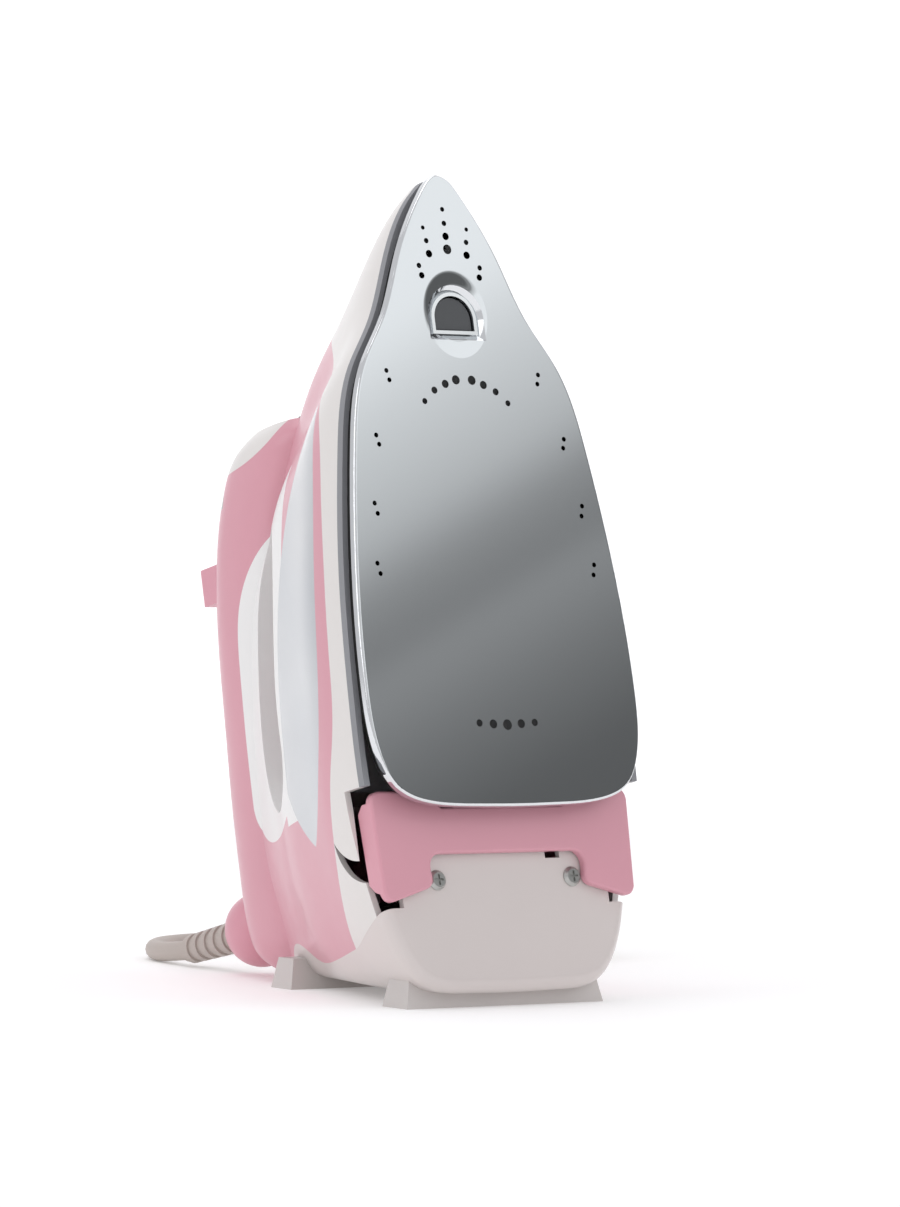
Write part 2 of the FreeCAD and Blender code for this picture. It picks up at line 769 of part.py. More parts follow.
# ---------------------------------------------------------------- the rear bracket and its drive
bracket_half = size("bracket_width") / 2
leg_inner = bracket_half - size("bracket_leg_width")
leg_end = size("bracket_leg_end")
BAR_TOP = 2.0
BAR_BOTTOM = -14.5
EAR_TOP = 8.0
bracket_side = [
    [(0, BAR_TOP, 0), (26, BAR_TOP, 0)],
    [(26, BAR_TOP, 0), (33, EAR_TOP, 0)],
    [(33, EAR_TOP, 0), (bracket_half - 4.5, EAR_TOP, 0)],
    [(bracket_half - 4.5, EAR_TOP, 0), (bracket_half - 1.3, EAR_TOP - 1.3, 0),
     (bracket_half, EAR_TOP - 4.5, 0)],
    [(bracket_half, EAR_TOP - 4.5, 0), (bracket_half - 1.5, leg_end + 3, 0)],
    [(bracket_half - 1.5, leg_end + 3, 0), (bracket_half - 3.5, leg_end + 0.3, 0),
     (bracket_half - 6, leg_end, 0)],
    [(bracket_half - 6, leg_end, 0), (leg_inner + 3, leg_end + 4, 0)],
    [(leg_inner + 3, leg_end + 4, 0), (leg_inner + 0.6, leg_end + 5.5, 0), (leg_inner, leg_end + 9, 0)],
    [(leg_inner, leg_end + 9, 0), (leg_inner - 1, BAR_BOTTOM - 1.5, 0), (leg_inner - 6, BAR_BOTTOM, 0)],
    [(leg_inner - 6, BAR_BOTTOM, 0), (0, BAR_BOTTOM, 0)],
]
bracket_curves = []
for run in bracket_side:
    bracket_curves.append(curve(run))
for run in bracket_side:
    bracket_curves.append(curve([(-x, z, y) for x, z, y in run]))
bracket_outline = free_sketch("bracket_outline", bracket_curves, PLAN_TURN)
bind(bracket_outline, Placement__Base__y="bracket_face")
SIDE_DEPTH = 8.5
SIDE_THICKNESS = 6.8
bracket_block = doc.addObject("Part::Extrusion", "bracket_block")
bracket_block.Base = bracket_outline
bracket_block.DirMode = "Custom"
bracket_block.Dir = Vector(0, 1, 0)
bracket_block.Solid = True
bracket_block.LengthFwd = SIDE_DEPTH


def on_bracket_face(edge):
    return abs(edge.BoundBox.YMax - size("bracket_face")) < 0.01


bracket_rounded = rounded("bracket_rounded", bracket_block, 1.2, on_bracket_face)
skin_back = size("bracket_face") + size("bracket_skin")
wall_back = size("bracket_face") + SIDE_DEPTH
bracket_limit = side_region(
    "bracket_limit",
    [(0, -50), (0, 20)], [(0, 20), (skin_back, 20)], [(skin_back, 20), (skin_back, EAR_TOP - 4)],
    [(skin_back, EAR_TOP - 4), (wall_back - 3, EAR_TOP - 4)],
    [(wall_back - 3, EAR_TOP - 4), (wall_back + 1, EAR_TOP - 8)],
    [(wall_back + 1, EAR_TOP - 8), (wall_back + 1, leg_end + 8)],
    [(wall_back + 1, leg_end + 8), (wall_back - 3, leg_end + 4)],
    [(wall_back - 3, leg_end + 4), (skin_back, leg_end + 3)],
    [(skin_back, leg_end + 3), (skin_back, -50)], [(skin_back, -50), (0, -50)],
)
bracket_hollow = box("bracket_hollow", (SIDE_THICKNESS - bracket_half, bracket_half - SIDE_THICKNESS),
                     (skin_back, 60), (-60, 60))
bracket_shell = cut("bracket_shell", common("bracket_limited", bracket_rounded, bracket_limit),
                    bracket_hollow)
knuckle = rod("knuckle", "x", "shaft_radius + 2.2", "bracket_width - 4", "2 - bracket_width / 2",
              "pivot_depth", "pivot_place")
SLOT_SKIN = 2.2           # what a slot leaves of the bracket's front
slot_floor = size("bracket_face") + SLOT_SKIN
GEAR_LOW_X = 19.6
slots = []
for low, high in ((GEAR_LOW_X - 0.4, GEAR_LOW_X + size("gear_width") + 0.4),
                  (size("bush_place") - 0.5, size("bush_place") + size("bush_width") + 0.5),
                  (-size("bush_place") - size("bush_width") - 0.5, -size("bush_place") + 0.5)):
    slots.append(box(f"slot_{len(slots)}", (low, high), (slot_floor, 40), (-40, 40)))
shaft_hole = rod("shaft_hole", "x", "shaft_radius", 110, -55, "pivot_depth", "pivot_place")
bracket = cut("bracket", fuse("bracket_whole", bracket_shell, knuckle), shaft_hole, *slots)
keep(bracket, "rear_lifter")
keep(group("shaft", rod("shaft_rod", "x", "shaft_radius", 110, -55, "pivot_depth", "pivot_place")),
     "lifter_shaft")

full_gear = gear("full_gear", GEAR_TEETH, 0, GEAR_LOW_X, size("pivot_depth"), size("pivot_place"),
                 size("shaft_radius"))
gear_hub = cut("gear_hub", rod("gear_hub_rod", "x", "shaft_radius + 1.6", "gear_width", GEAR_LOW_X,
                               "pivot_depth", "pivot_place"),
               rod("gear_hub_bore", "x", "shaft_radius", 20, 12, "pivot_depth", "pivot_place"))
gear_sector = common("gear_sector", full_gear,
                     box("sector_limits", (0, 40), (slot_floor + 0.5, 60), ("pivot_place - 3.4", 60)))
keep(fuse("lifter_gear_fused", gear_sector, gear_hub), "lifter_gear")

drive_depth = size("pivot_depth") + gear_pitch + pinion_pitch
drive_place = size("pivot_place")
pinion = gear("lift_pinion_teeth", PINION_TEETH, math.pi + half_pinion_tooth, GEAR_LOW_X,
              drive_depth, drive_place, 0)
pinion_shaft = rod("pinion_shaft", "x", "pinion_bore", GEAR_LOW_X - 10, 11, drive_depth, drive_place)
keep(fuse("lift_pinion_fused", pinion, pinion_shaft), "lift_pinion")
gearbox = cut("gearbox", rod("gearbox_case", "x", 8, 15, 4, drive_depth, drive_place),
              rod("gearbox_bore", "x", "pinion_bore + running_gap", 10, 10.8, drive_depth, drive_place))
keep(gearbox, "lift_gearbox")
MOTOR_FLAT = 6.2
motor = common("motor", rod("motor_can", "x", 7.6, 24, -20, drive_depth, drive_place),
               box("motor_flats", (-60, 60), (0, 90), (drive_place - MOTOR_FLAT, drive_place + MOTOR_FLAT)))
keep(motor, "lift_motor")

FRAME_BACK = (8, 10.5)    # the frame's back plate, from the drive's axis
FRAME_PLACES = ("pivot_place - 6", "pivot_place + 2")
bushes = []
cheeks = []
for number, low in enumerate((size("bush_place"), -size("bush_place") - size("bush_width"))):
    ring = cut(f"bush_{number}",
               rod(f"bush_out_{number}", "x", "bush_radius", "bush_width", low, "pivot_depth",
                   "pivot_place"),
               rod(f"bush_in_{number}", "x", "shaft_radius + running_gap", "bush_width", low,
                   "pivot_depth", "pivot_place"))
    bushes.append(ring)
    cheeks.append(box(f"cheek_{number}", (low, low + size("bush_width")),
                      ("pivot_depth", drive_depth + FRAME_BACK[1]), FRAME_PLACES))
    cheeks.append(rod(f"cheek_eye_{number}", "x", "bush_radius + 1.1", "bush_width", low, "pivot_depth",
                      "pivot_place"))
keep(group("bush_pair", *bushes), "lifter_bushes")
frame_back = box("frame_back", ("-bush_place", "bush_place"),
                 (drive_depth + FRAME_BACK[0], drive_depth + FRAME_BACK[1]), FRAME_PLACES)
frame_bores = rod("frame_bores", "x", "bush_radius", 80, -40, "pivot_depth", "pivot_place")
keep(cut("lifter_frame_cut", fuse("frame_all", frame_back, *cheeks), frame_bores), "lifter_frame")

# ---------------------------------------------------------------- moulded shells
keep(shell_piece("rim", rim_region), "skirt_rim")
keep(shell_piece("skirt", skirt_region, rim_region, rear_room, heel_region), "lower_skirt")

# Controls sit in openings of the grip's top.
button_middle = size("button_width") / 2 + 0.75
button_ends = ("button_place - button_length / 2", "button_place + button_length / 2")
button_holes = []
for side in (-1, 1):
    button_holes.append(box(
        f"button_hole_{side + 1}",
        (f"{side * button_middle} - button_width / 2 - button_gap",
         f"{side * button_middle} + button_width / 2 + button_gap"),
        (138, 175),
        (f"{button_ends[0]} - button_gap", f"{button_ends[1]} + button_gap")))
ball_centre_depth = (size("ball_y") * math.cos(math.radians(size("lean")))
                     - (size("ball_z") - size("rear_edge_height")) * math.sin(math.radians(size("lean"))))
ball_centre_place = (size("ball_y") * math.sin(math.radians(size("lean")))
                     + (size("ball_z") - size("rear_edge_height")) * math.cos(math.radians(size("lean"))))


def sphere(name, radius, x, y, z):
    item = doc.addObject("Part::Sphere", name)
    bind(item, Radius=radius)
    bind(item, Placement__Base__x=x, Placement__Base__y=y, Placement__Base__z=z)
    return item


ball_room = sphere("ball_room", "ball_radius + ball_gap", 0, ball_centre_depth, ball_centre_place)
KNOB_SLOT = (stretched(139.2), stretched(139.2) + 9.8)
knob_slot = box("knob_slot", (-2.3, 2.3), (128, 160), KNOB_SLOT)
LENS_PLACE = stretched(86.0)
LENS_RADIUS = 3.0
lens_hole = rod("lens_hole", "y", LENS_RADIUS, 12, 0, 148, LENS_PLACE)
handle_top = shell_piece("handle_top", top_region, nose_region, window_region, liner_region,
                         heel_region, *button_holes, ball_room, lens_hole)
keep(handle_top, "handle_top")
keep(shell_piece("handle_liner", liner_region, nose_region, deck_region, window_region), "handle_liner")
keep(shell_piece("side_shell", box("side_block", ("-plate_width", "plate_width"), (10, 170), (-80, 240)),
                 skirt_region, rear_room, heel_region, lens_region, nose_region, window_region,
                 liner_region, deck_region, top_region, ball_room), "side_shell")
keep(shell_piece("top_deck", deck_region, lens_region, nose_region,
                 rod("dial_hole", "y", "dial_shaft_radius + running_gap", 40, 0, 60, "dial_place")),
     "top_deck")
keep(shell_piece("slider_window", window_region, liner_region, knob_slot, nose_region), "slider_window")

# The fill door is a flat flap in the nose's front face.
DOOR_HALF_WIDTH = 8.5
DOOR_LOW = 104.6
DOOR_GAP = 0.35
door_pin_depth = 119.4
KNUCKLE_RADIUS = 1.9
nose_front = stretched(GRIP_STATIONS[-1][0])
door_pin_place = nose_front - KNUCKLE_RADIUS
DOOR_PIN_RADIUS = 0.8
door_hole = box("door_hole", (-DOOR_HALF_WIDTH - DOOR_GAP, DOOR_HALF_WIDTH + DOOR_GAP),
                (DOOR_LOW - DOOR_GAP, door_pin_depth + KNUCKLE_RADIUS + DOOR_GAP),
                (nose_front - 5, nose_front + 17))
door_plate = box("door_plate", (-DOOR_HALF_WIDTH, DOOR_HALF_WIDTH), (DOOR_LOW, door_pin_depth),
                 (f"{nose_front} - wall", nose_front))
door_knuckle = rod("door_knuckle", "x", KNUCKLE_RADIUS, 2 * DOOR_HALF_WIDTH, -DOOR_HALF_WIDTH,
                   door_pin_depth, door_pin_place)
door_bore = rod("door_bore", "x", f"{DOOR_PIN_RADIUS} + running_gap", 40, -20, door_pin_depth,
                door_pin_place)
keep(cut("door", fuse("door_whole", door_plate, door_knuckle), door_bore), "fill_door")
DOOR_PIN_HALF = 10.6
door_pin = rod("door_pin_rod", "x", DOOR_PIN_RADIUS, 2 * DOOR_PIN_HALF, -DOOR_PIN_HALF, door_pin_depth,
               door_pin_place)
keep(group("door_pin_body", door_pin), "door_pin")
NOZZLE_DEPTH = 100.8
nozzle_hole = rod("nozzle_hole", "z", 2.4, 14, 0, NOZZLE_DEPTH, nose_front - 8)
door_pin_hole = rod("door_pin_hole", "x", DOOR_PIN_RADIUS, 2 * DOOR_PIN_HALF, -DOOR_PIN_HALF,
                    door_pin_depth, door_pin_place)
keep(shell_piece("nose", nose_region, door_hole, door_pin_hole, nozzle_hole), "nose")
keep(fuse("nozzle", rod("nozzle_body", "z", 2.4, 9, 0, NOZZLE_DEPTH, nose_front - 8),
          cone("nozzle_tip", "z", 2.4, 1.4, 1.4, 0, NOZZLE_DEPTH, nose_front + 1)), "spray_nozzle")

# ---------------------------------------------------------------- water tank
TANK_AIR = 0.8            # between the tank and the shells round it
TANK_WALL = 2.0
CHIMNEY_GAP = 2.0         # round the dial's shaft, where it goes through the tank
CHIMNEY_WALL = 1.8
panel_inner = body_form("panel_inner", size("wall") + TANK_AIR + 0.3)
tank_outer = body_form("tank_outer", size("wall") + TANK_AIR)
tank_inner = body_form("tank_inner", size("wall") + TANK_AIR + TANK_WALL)
TANK_DEPTHS = (34, 63)
TANK_PLACES = (stretched(12), stretched(138))
panels = cut("panels_raw", common("lens_form", cut("lens_skin", outer_low, panel_inner), lens_region),
             gap_wall)
tank_block = common("tank_block", tank_outer, box("tank_limits", (-70, 70), TANK_DEPTHS, TANK_PLACES))
tank_hollow = common("tank_hollow", tank_inner, box(
    "tank_hollow_limits", (-70, 70), (TANK_DEPTHS[0] + TANK_WALL, TANK_DEPTHS[1] - TANK_WALL),
    (TANK_PLACES[0] + TANK_WALL, TANK_PLACES[1] - TANK_WALL)))
chimney = rod("chimney", "y", f"dial_shaft_radius + {CHIMNEY_GAP} + {CHIMNEY_WALL}",
              TANK_DEPTHS[1] - TANK_DEPTHS[0], 0, TANK_DEPTHS[0], "dial_place")
chimney_bore = rod("chimney_bore", "y", f"dial_shaft_radius + {CHIMNEY_GAP}", 60, 0, 20, "dial_place")
FILL_X = -5.0
FILL_PLACE = TANK_PLACES[1] - 7
fill_socket = rod("fill_socket", "y", 4.8, 10, FILL_X, TANK_DEPTHS[1] - 5, FILL_PLACE)
tank = cut("tank", fuse("tank_walls", cut("tank_shell", tank_block, tank_hollow), panels, chimney),
           chimney_bore, fill_socket)
keep(tank, "water_tank")


def tube_between(name, start, end, outer_radius, inner_radius):
    """A straight tube between two points; radius 0 inside makes it a bar."""
    axis = Vector(*end) - Vector(*start)
    wall = Part.makeCylinder(outer_radius, axis.Length, Vector(*start), axis)
    if inner_radius:
        wall = wall.cut(Part.makeCylinder(inner_radius, axis.Length, Vector(*start), axis))
    item = doc.addObject("Part::Feature", name)
    item.Shape = wall
    return item


keep(fuse("fill_tube_fused",
          tube_between("fill_spout", (FILL_X, 109, nose_front - 8), (FILL_X, 69, FILL_PLACE + 2),
                       4.6, 3.6),
          cut("fill_foot_cut", rod("fill_foot", "y", 4.8, 12, FILL_X, TANK_DEPTHS[1] - 4.8, FILL_PLACE),
              rod("fill_foot_bore", "y", 3.4, 30, FILL_X, 50, FILL_PLACE))), "fill_funnel")

# ---------------------------------------------------------------- steam valve, heat sensing, dial
VALVE_X = 8.0
VALVE_PLACE = 146.0
stack_top = "plate_thickness + casting_depth + cover_thickness"
valve = fuse("valve", rod("valve_body", "y", 4.0, 14, VALVE_X, stack_top, VALVE_PLACE),
             rod("valve_nut", "y", 5.5, 4, VALVE_X, stack_top, VALVE_PLACE))
keep(valve, "drip_valve")
valve_rod = rod("valve_rod_bar", "y", 1.2, 92, VALVE_X, f"{stack_top} + 14", VALVE_PLACE)
keep(group("valve_rod_part", valve_rod), "valve_rod")
thermostat = fuse("thermostat_fused",
                  rod("thermostat_disc", "y", 9, 4, 0, stack_top, "dial_place"),
                  rod("thermostat_neck", "y", 4.6, 9, 0, stack_top, "dial_place"))
keep(thermostat, "thermostat")
FUSE_RADIUS = 2.2
FUSE_X = 34
fuse_depth = f"{casting_high} + {FUSE_RADIUS}"
keep(fuse("fuse_link", rod("fuse_barrel", "z", FUSE_RADIUS, 14, FUSE_X, fuse_depth, 60),
          rod("fuse_leads", "z", 0.6, 28, FUSE_X, fuse_depth, 53)), "thermal_fuse")

shaft_low = f"{stack_top} + 9.1"
dial_low = "deck_depth + 1.2"
DIAL_SOCKET = 5
dial_skirt = rod("dial_skirt", "y", "dial_radius", "dial_height * 0.4", 0, dial_low, "dial_place")
dial_crown = cone("dial_crown", "y", "dial_radius - 2", "dial_radius - 3.5", "dial_height", 0, dial_low,
                  "dial_place")
grips = []
GRIP_NOTCHES = 18
for step in range(GRIP_NOTCHES):
    turn = 2 * math.pi * step / GRIP_NOTCHES
    reach = size("dial_radius") - 1.6
    grips.append(rod(f"dial_notch_{step}", "y", 1.1, 12, reach * math.cos(turn),
                     size("deck_depth") + 4.2, size("dial_place") + reach * math.sin(turn)))
dial_socket = rod("dial_socket", "y", "dial_shaft_radius", DIAL_SOCKET, 0, dial_low, "dial_place")
keep(cut("dial", fuse("dial_whole", dial_skirt, dial_crown), dial_socket, *grips), "dial_knob")
dial_shaft = rod("dial_shaft_rod", "y", "dial_shaft_radius",
                 f"({dial_low} + {DIAL_SOCKET}) - ({shaft_low})", 0, shaft_low, "dial_place")
keep(group("dial_shaft_part", dial_shaft), "dial_shaft")

# ---------------------------------------------------------------- buttons, pumps and their springs
FLANGE_DEPTHS = (140.8, 142.6)
STEM_RADIUS = 1.6
PUMP_RADIUS = 5.2
PUMP_TOP_GAP = 0.8        # left between flange and pump when a button is fully in
PUMP_DEPTHS = (116, FLANGE_DEPTHS[0] - size("button_travel") - PUMP_TOP_GAP)
SPRING_WIRE = 0.45
SPRING_RADIUS = 3.1
SPRING_TURNS = 5


def spring(name, x, low, high):
    """A helical spring round a stem that runs along the depth."""
    pitch = (high - low) / SPRING_TURNS
    helix = Part.makeHelix(pitch, high - low, SPRING_RADIUS)
    start = Vector(SPRING_RADIUS, 0, 0)
    ring = Part.Wire([Part.Circle(start, Vector(0, 1, 0), SPRING_WIRE).toShape()])
    coil = Part.Wire(helix.Edges).makePipeShell([ring], True, True)
    coil.Placement = Placement(Vector(x, low, size("button_place")), ALONG["y"])
    item = doc.addObject("Part::Feature", name)
    item.Shape = coil
    return item


def button_cap(name, x):
    """A push button with rounded top edges, a flange that keeps it in, and a stem."""
    half = size("button_width") / 2
    cap = box(f"{name}_cap", (x - half, x + half), (FLANGE_DEPTHS[0], "button_top"), button_ends)

    def on_top(edge):
        return edge.BoundBox.YMin > size("button_top") - 0.1

    soft_cap = rounded(f"{name}_soft", cap, 2.2, on_top)
    flange = box(f"{name}_flange", (x - half, x + half), FLANGE_DEPTHS,
                 (f"{button_ends[0]} - 1.2", f"{button_ends[1]} + 1.2"))
    stem = rod(f"{name}_stem", "y", STEM_RADIUS, FLANGE_DEPTHS[0] - 130, x, 130, "button_place")
    return fuse(f"{name}_fused", soft_cap, flange, stem)


def pump(name, x):
    barrel = rod(f"{name}_barrel", "y", PUMP_RADIUS, PUMP_DEPTHS[1] - PUMP_DEPTHS[0], x, PUMP_DEPTHS[0],
                 "button_place")
    bore = rod(f"{name}_bore", "y", f"{STEM_RADIUS} + running_gap", 15, x, 125, "button_place")
    return cut(f"{name}_cut", barrel, bore)


for name, x in (("steam", -button_middle), ("spray", button_middle)):
    keep(button_cap(f"{name}_button_shape", x), f"{name}_button")
    keep(pump(f"{name}_pump_shape", x), f"{name}_pump")
    keep(spring(f"{name}_spring_shape", x, PUMP_DEPTHS[1] + 0.6, FLANGE_DEPTHS[0] - 0.6),
         f"{name}_spring")

KNOB_LENGTH = 4.4
knob_low = KNOB_SLOT[0] + 0.3
knob = fuse("knob", box("knob_stem", (-1.9, 1.9), (134, 146.5), (knob_low, knob_low + 2.6)),
            box("knob_cap", (-4.6, 4.6), (145.7, 147.9), (knob_low - 0.8, knob_low + KNOB_LENGTH - 0.8)),
            box("knob_foot", (-4, 4), (133.2, 135.2), (knob_low - 0.6, knob_low + KNOB_LENGTH - 0.6)))
keep(knob, "steam_slider")

keep(group("lens_part", rod("lens_rod", "y", LENS_RADIUS, 3.2, 0, 151.8, LENS_PLACE)), "indicator_lens")
keep(group("sensor_part", box("sensor_strip", (-7, 7), (116.4, 117.0), (32, 98))), "touch_sensor")
keep(group("board_part", box("board_plate", (-21, 21), (50, 98), (-25.0, -23.4))), "control_board")
keep(group("terminal_part", box("terminal_body", (-9, 9), (102, 120), (-21, -9))), "terminal_block")

# ---------------------------------------------------------------- heel
heel_tall = box("heel_limits", (-90, 90), ("heel_face", 140), (-95, 0))
heel_whole = common("heel_whole", common("heel_raw", outer, heel_region), heel_tall)
HEEL_ROUND = 4.5


def on_heel_front(edge):
    """The lower and side edges of the heel's front face, not its straight top edge."""
    on_face = abs(edge.BoundBox.YMax - size("heel_face")) < 0.05
    return on_face and edge.BoundBox.ZMin < -50


heel_soft = rounded("heel_soft", heel_whole, HEEL_ROUND, on_heel_front)
heel_hollow = common("heel_hollow", inner, box("heel_hollow_limits", (-90, 90), ("heel_face + wall", 200),
                                               (-95, 0)))
tongue = box("heel_tongue", ("-heel_width / 2 + 3", "heel_width / 2 - 3"),
             ("heel_face", "heel_face + wall"), (-38, -11.2))
gear_notch = rod("gear_notch", "x", gear_pitch + 1.4, "gear_width + 1.4", GEAR_LOW_X - 0.7,
                 "pivot_depth", "pivot_place")
SCREW_X = 29.5
SCREW_PLACE = -23.5
screw_holes = [rod(f"screw_hole_{side + 1}", "y", "screw_radius - 1.4", 20, side * SCREW_X, 5, SCREW_PLACE)
               for side in (-1, 1)]
heel = cut("heel", fuse("heel_fused", cut("heel_cup", heel_soft, heel_hollow), tongue),
           gear_notch, ball_room, *screw_holes)
keep(heel, "heel_cover")

screws = []
for side in (-1, 1):
    x = side * SCREW_X
    head = cone(f"screw_head_{side + 1}", "y", "screw_radius - 1", "screw_radius", 1.2, x,
                "heel_face - 1.6", SCREW_PLACE)
    rim = rod(f"screw_rim_{side + 1}", "y", "screw_radius", 0.4, x, "heel_face - 0.4", SCREW_PLACE)
    shank = rod(f"screw_shank_{side + 1}", "y", "screw_radius - 1.5", 10, x, "heel_face - 0.4", SCREW_PLACE)
    slot_across = box(f"screw_slot_a_{side + 1}", (x - 1.9, x + 1.9), ("heel_face - 2", "heel_face - 0.7"),
                      (SCREW_PLACE - 0.4, SCREW_PLACE + 0.4))
    slot_along = box(f"screw_slot_b_{side + 1}", (x - 0.4, x + 0.4), ("heel_face - 2", "heel_face - 0.7"),
                     (SCREW_PLACE - 1.9, SCREW_PLACE + 1.9))
    screws.append(cut(f"screw_{side + 1}", fuse(f"screw_body_{side + 1}", head, rim, shank),
                      slot_across, slot_along))
keep(group("screw_pair", *screws), "heel_screws")


# The placement that stands the iron on its heel; a pad's own is the inverse, so it stays level.
stand = Placement(Vector(0, 0, size("rear_edge_height")), Rotation(Vector(1, 0, 0), -size("lean")))


def foot(name, half_width, near, far, height):
    """A flared pad, square to the floor, with the heel's underside cut out of its top."""
    flare = 2.5
    corners = [Vector(-half_width, near, 0), Vector(half_width, near, 0),
               Vector(half_width, far, 0), Vector(-half_width, far, 0)]
    top_half = half_width - flare
    top = [Vector(-top_half, near + flare, height), Vector(top_half, near + flare, height),
           Vector(top_half, far - 1, height), Vector(-top_half, far - 1, height)]
    block = doc.addObject("Part::Feature", f"{name}_block")
    block.Shape = Part.makeLoft([Part.makePolygon(corners + corners[:1]),
                                 Part.makePolygon(top + top[:1])], True, True)
    block.Placement = stand.inverse()
    return cut(f"{name}_cut", block, heel_soft)


keep(foot("near_foot_shape", 43, 5, 20, size("foot_height")), "near_foot")
keep(foot("far_foot_shape", 30, 95, 108, size("foot_height")), "far_foot")

# ---------------------------------------------------------------- cord swivel and cord, upright
SWIVEL_Y = size("ball_y")
SWIVEL_Z = size("ball_z")
BOOT_SLOPE = -0.225
boot_way = Vector(0, 1, BOOT_SLOPE).normalize()
ball_centre = Vector(0, SWIVEL_Y, SWIVEL_Z)
boot_start = ball_centre + boot_way * (size("ball_radius") - 1.5)
boot_end = ball_centre + boot_way * (size("ball_radius") + size("boot_length"))
BOOT_RIBS = 6
BOOT_START_RADIUS = 6.2
BOOT_END_RADIUS = 5.3


def boot_profile():
    """Half of the boot's outline, along its axis: alternate rings and grooves."""
    length = (boot_end - boot_start).Length
    step = length / (2 * BOOT_RIBS)
    points = [(0, 0)]
    for number in range(2 * BOOT_RIBS):
        reach = BOOT_START_RADIUS + (BOOT_END_RADIUS - BOOT_START_RADIUS) * number / (2 * BOOT_RIBS)
        groove = 0.9 if number % 2 else 0.0
        points += [(reach - groove, number * step), (reach - groove, (number + 1) * step)]
    points.append((0, length))
    return points


boot_face = Part.Face(Part.makePolygon([Vector(r, 0, along) for r, along in boot_profile()]
                                       + [Vector(0, 0, 0)]))
boot_blank = doc.addObject("Part::Feature", "boot_blank")
boot_blank.Shape = boot_face.revolve(Vector(0, 0, 0), Vector(0, 0, 1), 360)
boot_blank.Placement = Placement(boot_start, Rotation(Vector(0, 0, 1), boot_way))
ball = sphere("ball_whole", "ball_radius", 0, SWIVEL_Y, SWIVEL_Z)
keep(group("ball_part", ball), "swivel_ball", on_cord=True)
keep(cut("boot", boot_blank, sphere("ball_tool", "ball_radius", 0, SWIVEL_Y, SWIVEL_Z)), "cord_boot",
     on_cord=True)

CORD_Z = size("cord_diameter") / 2 + 0.1
ROUTE = [                 # where the cord's runs meet, on the floor behind the heel
    (boot_end.x, boot_end.y, boot_end.z),
    (0.3, 226, CORD_Z),
    (7.5, 243.5, CORD_Z),
    (21, 257, CORD_Z),
    (38.5, 264.5, CORD_Z),
    (58, 267, CORD_Z),
    (82, 264, CORD_Z),
]


def routed_tube(route, radius):
    """A tube along straight runs joined by arcs as large as the runs allow."""
    points = [Vector(*p) for p in route]
    edges = []
    here = points[0]
    for before, corner, after in zip(points, points[1:], points[2:]):
        back = before - corner
        ahead = after - corner
        half_turn = (math.pi - back.getAngle(ahead)) / 2
        set_back = 0.45 * min(back.Length, ahead.Length)
        arc_radius = set_back / math.tan(half_turn)
        print(f"cord corner: turn {math.degrees(2 * half_turn):.0f} degrees, radius {arc_radius:.0f} mm")
        enter = corner + back.normalize() * set_back
        leave = corner + ahead.normalize() * set_back
        to_centre = (back + ahead).normalize() * (arc_radius / math.cos(half_turn))
        centre = corner + to_centre
        middle = centre - to_centre.normalize() * arc_radius
        edges.append(Part.LineSegment(here, enter).toShape())
        edges.append(Part.Arc(enter, middle, leave).toShape())
        here = leave
    edges.append(Part.LineSegment(here, points[-1]).toShape())
    path = Part.Wire(edges)
    way = (points[1] - points[0]).normalize()
    ring = Part.Wire([Part.Circle(points[0], way, radius).toShape()])
    tube = path.makePipeShell([ring], True, True)
    ideal = math.pi * radius ** 2 * path.Length
    print(f"cord tube: {path.Length:.0f} mm long, volume {tube.Volume / ideal:.4f} of section x length")
    return tube


lead = doc.addObject("Part::Feature", "lead")
lead.Shape = routed_tube(ROUTE, size("cord_diameter") / 2)
keep(lead, "cord_lead", on_cord=True)

coil_z = "0.1"
coil_outside = rod("coil_outside", "z", "coil_diameter / 2 + coil_width / 2", "coil_height", "coil_x",
                   "coil_y", coil_z)
coil_inside = rod("coil_inside", "z", "coil_diameter / 2 - coil_width / 2", "coil_height", "coil_x",
                  "coil_y", coil_z)
keep(rounded("coil", cut("coil_ring", coil_outside, coil_inside), 4.0, lambda edge: edge.Length > 100),
     "cord_coil", on_cord=True)

PLUG_LENGTH = 36.0
PLUG_BASE = size("coil_height") + 0.1
plug_low_y = size("coil_y") - PLUG_LENGTH + 8
plug_x = size("coil_x") + size("coil_diameter") / 2 - 1
plug_box = box("plug_box", (plug_x - 12, plug_x + 12), (plug_low_y, plug_low_y + PLUG_LENGTH),
               (PLUG_BASE, PLUG_BASE + 19))
keep(rounded("plug_soft", plug_box, 3.0, lambda edge: True), "plug_body", on_cord=True)
PIN_Z = PLUG_BASE + 8.0
pins = [box(f"plug_blade_{side + 1}", (plug_x + side * 6.35 - 0.75, plug_x + side * 6.35 + 0.75),
            (plug_low_y - 16, plug_low_y), (PIN_Z - 3, PIN_Z + 3)) for side in (-1, 1)]
pins.append(rod("plug_ground", "y", 2.4, 18, plug_x, plug_low_y - 18, PIN_Z + 7.2))
keep(group("plug_pin_set", *pins), "plug_pins", on_cord=True)

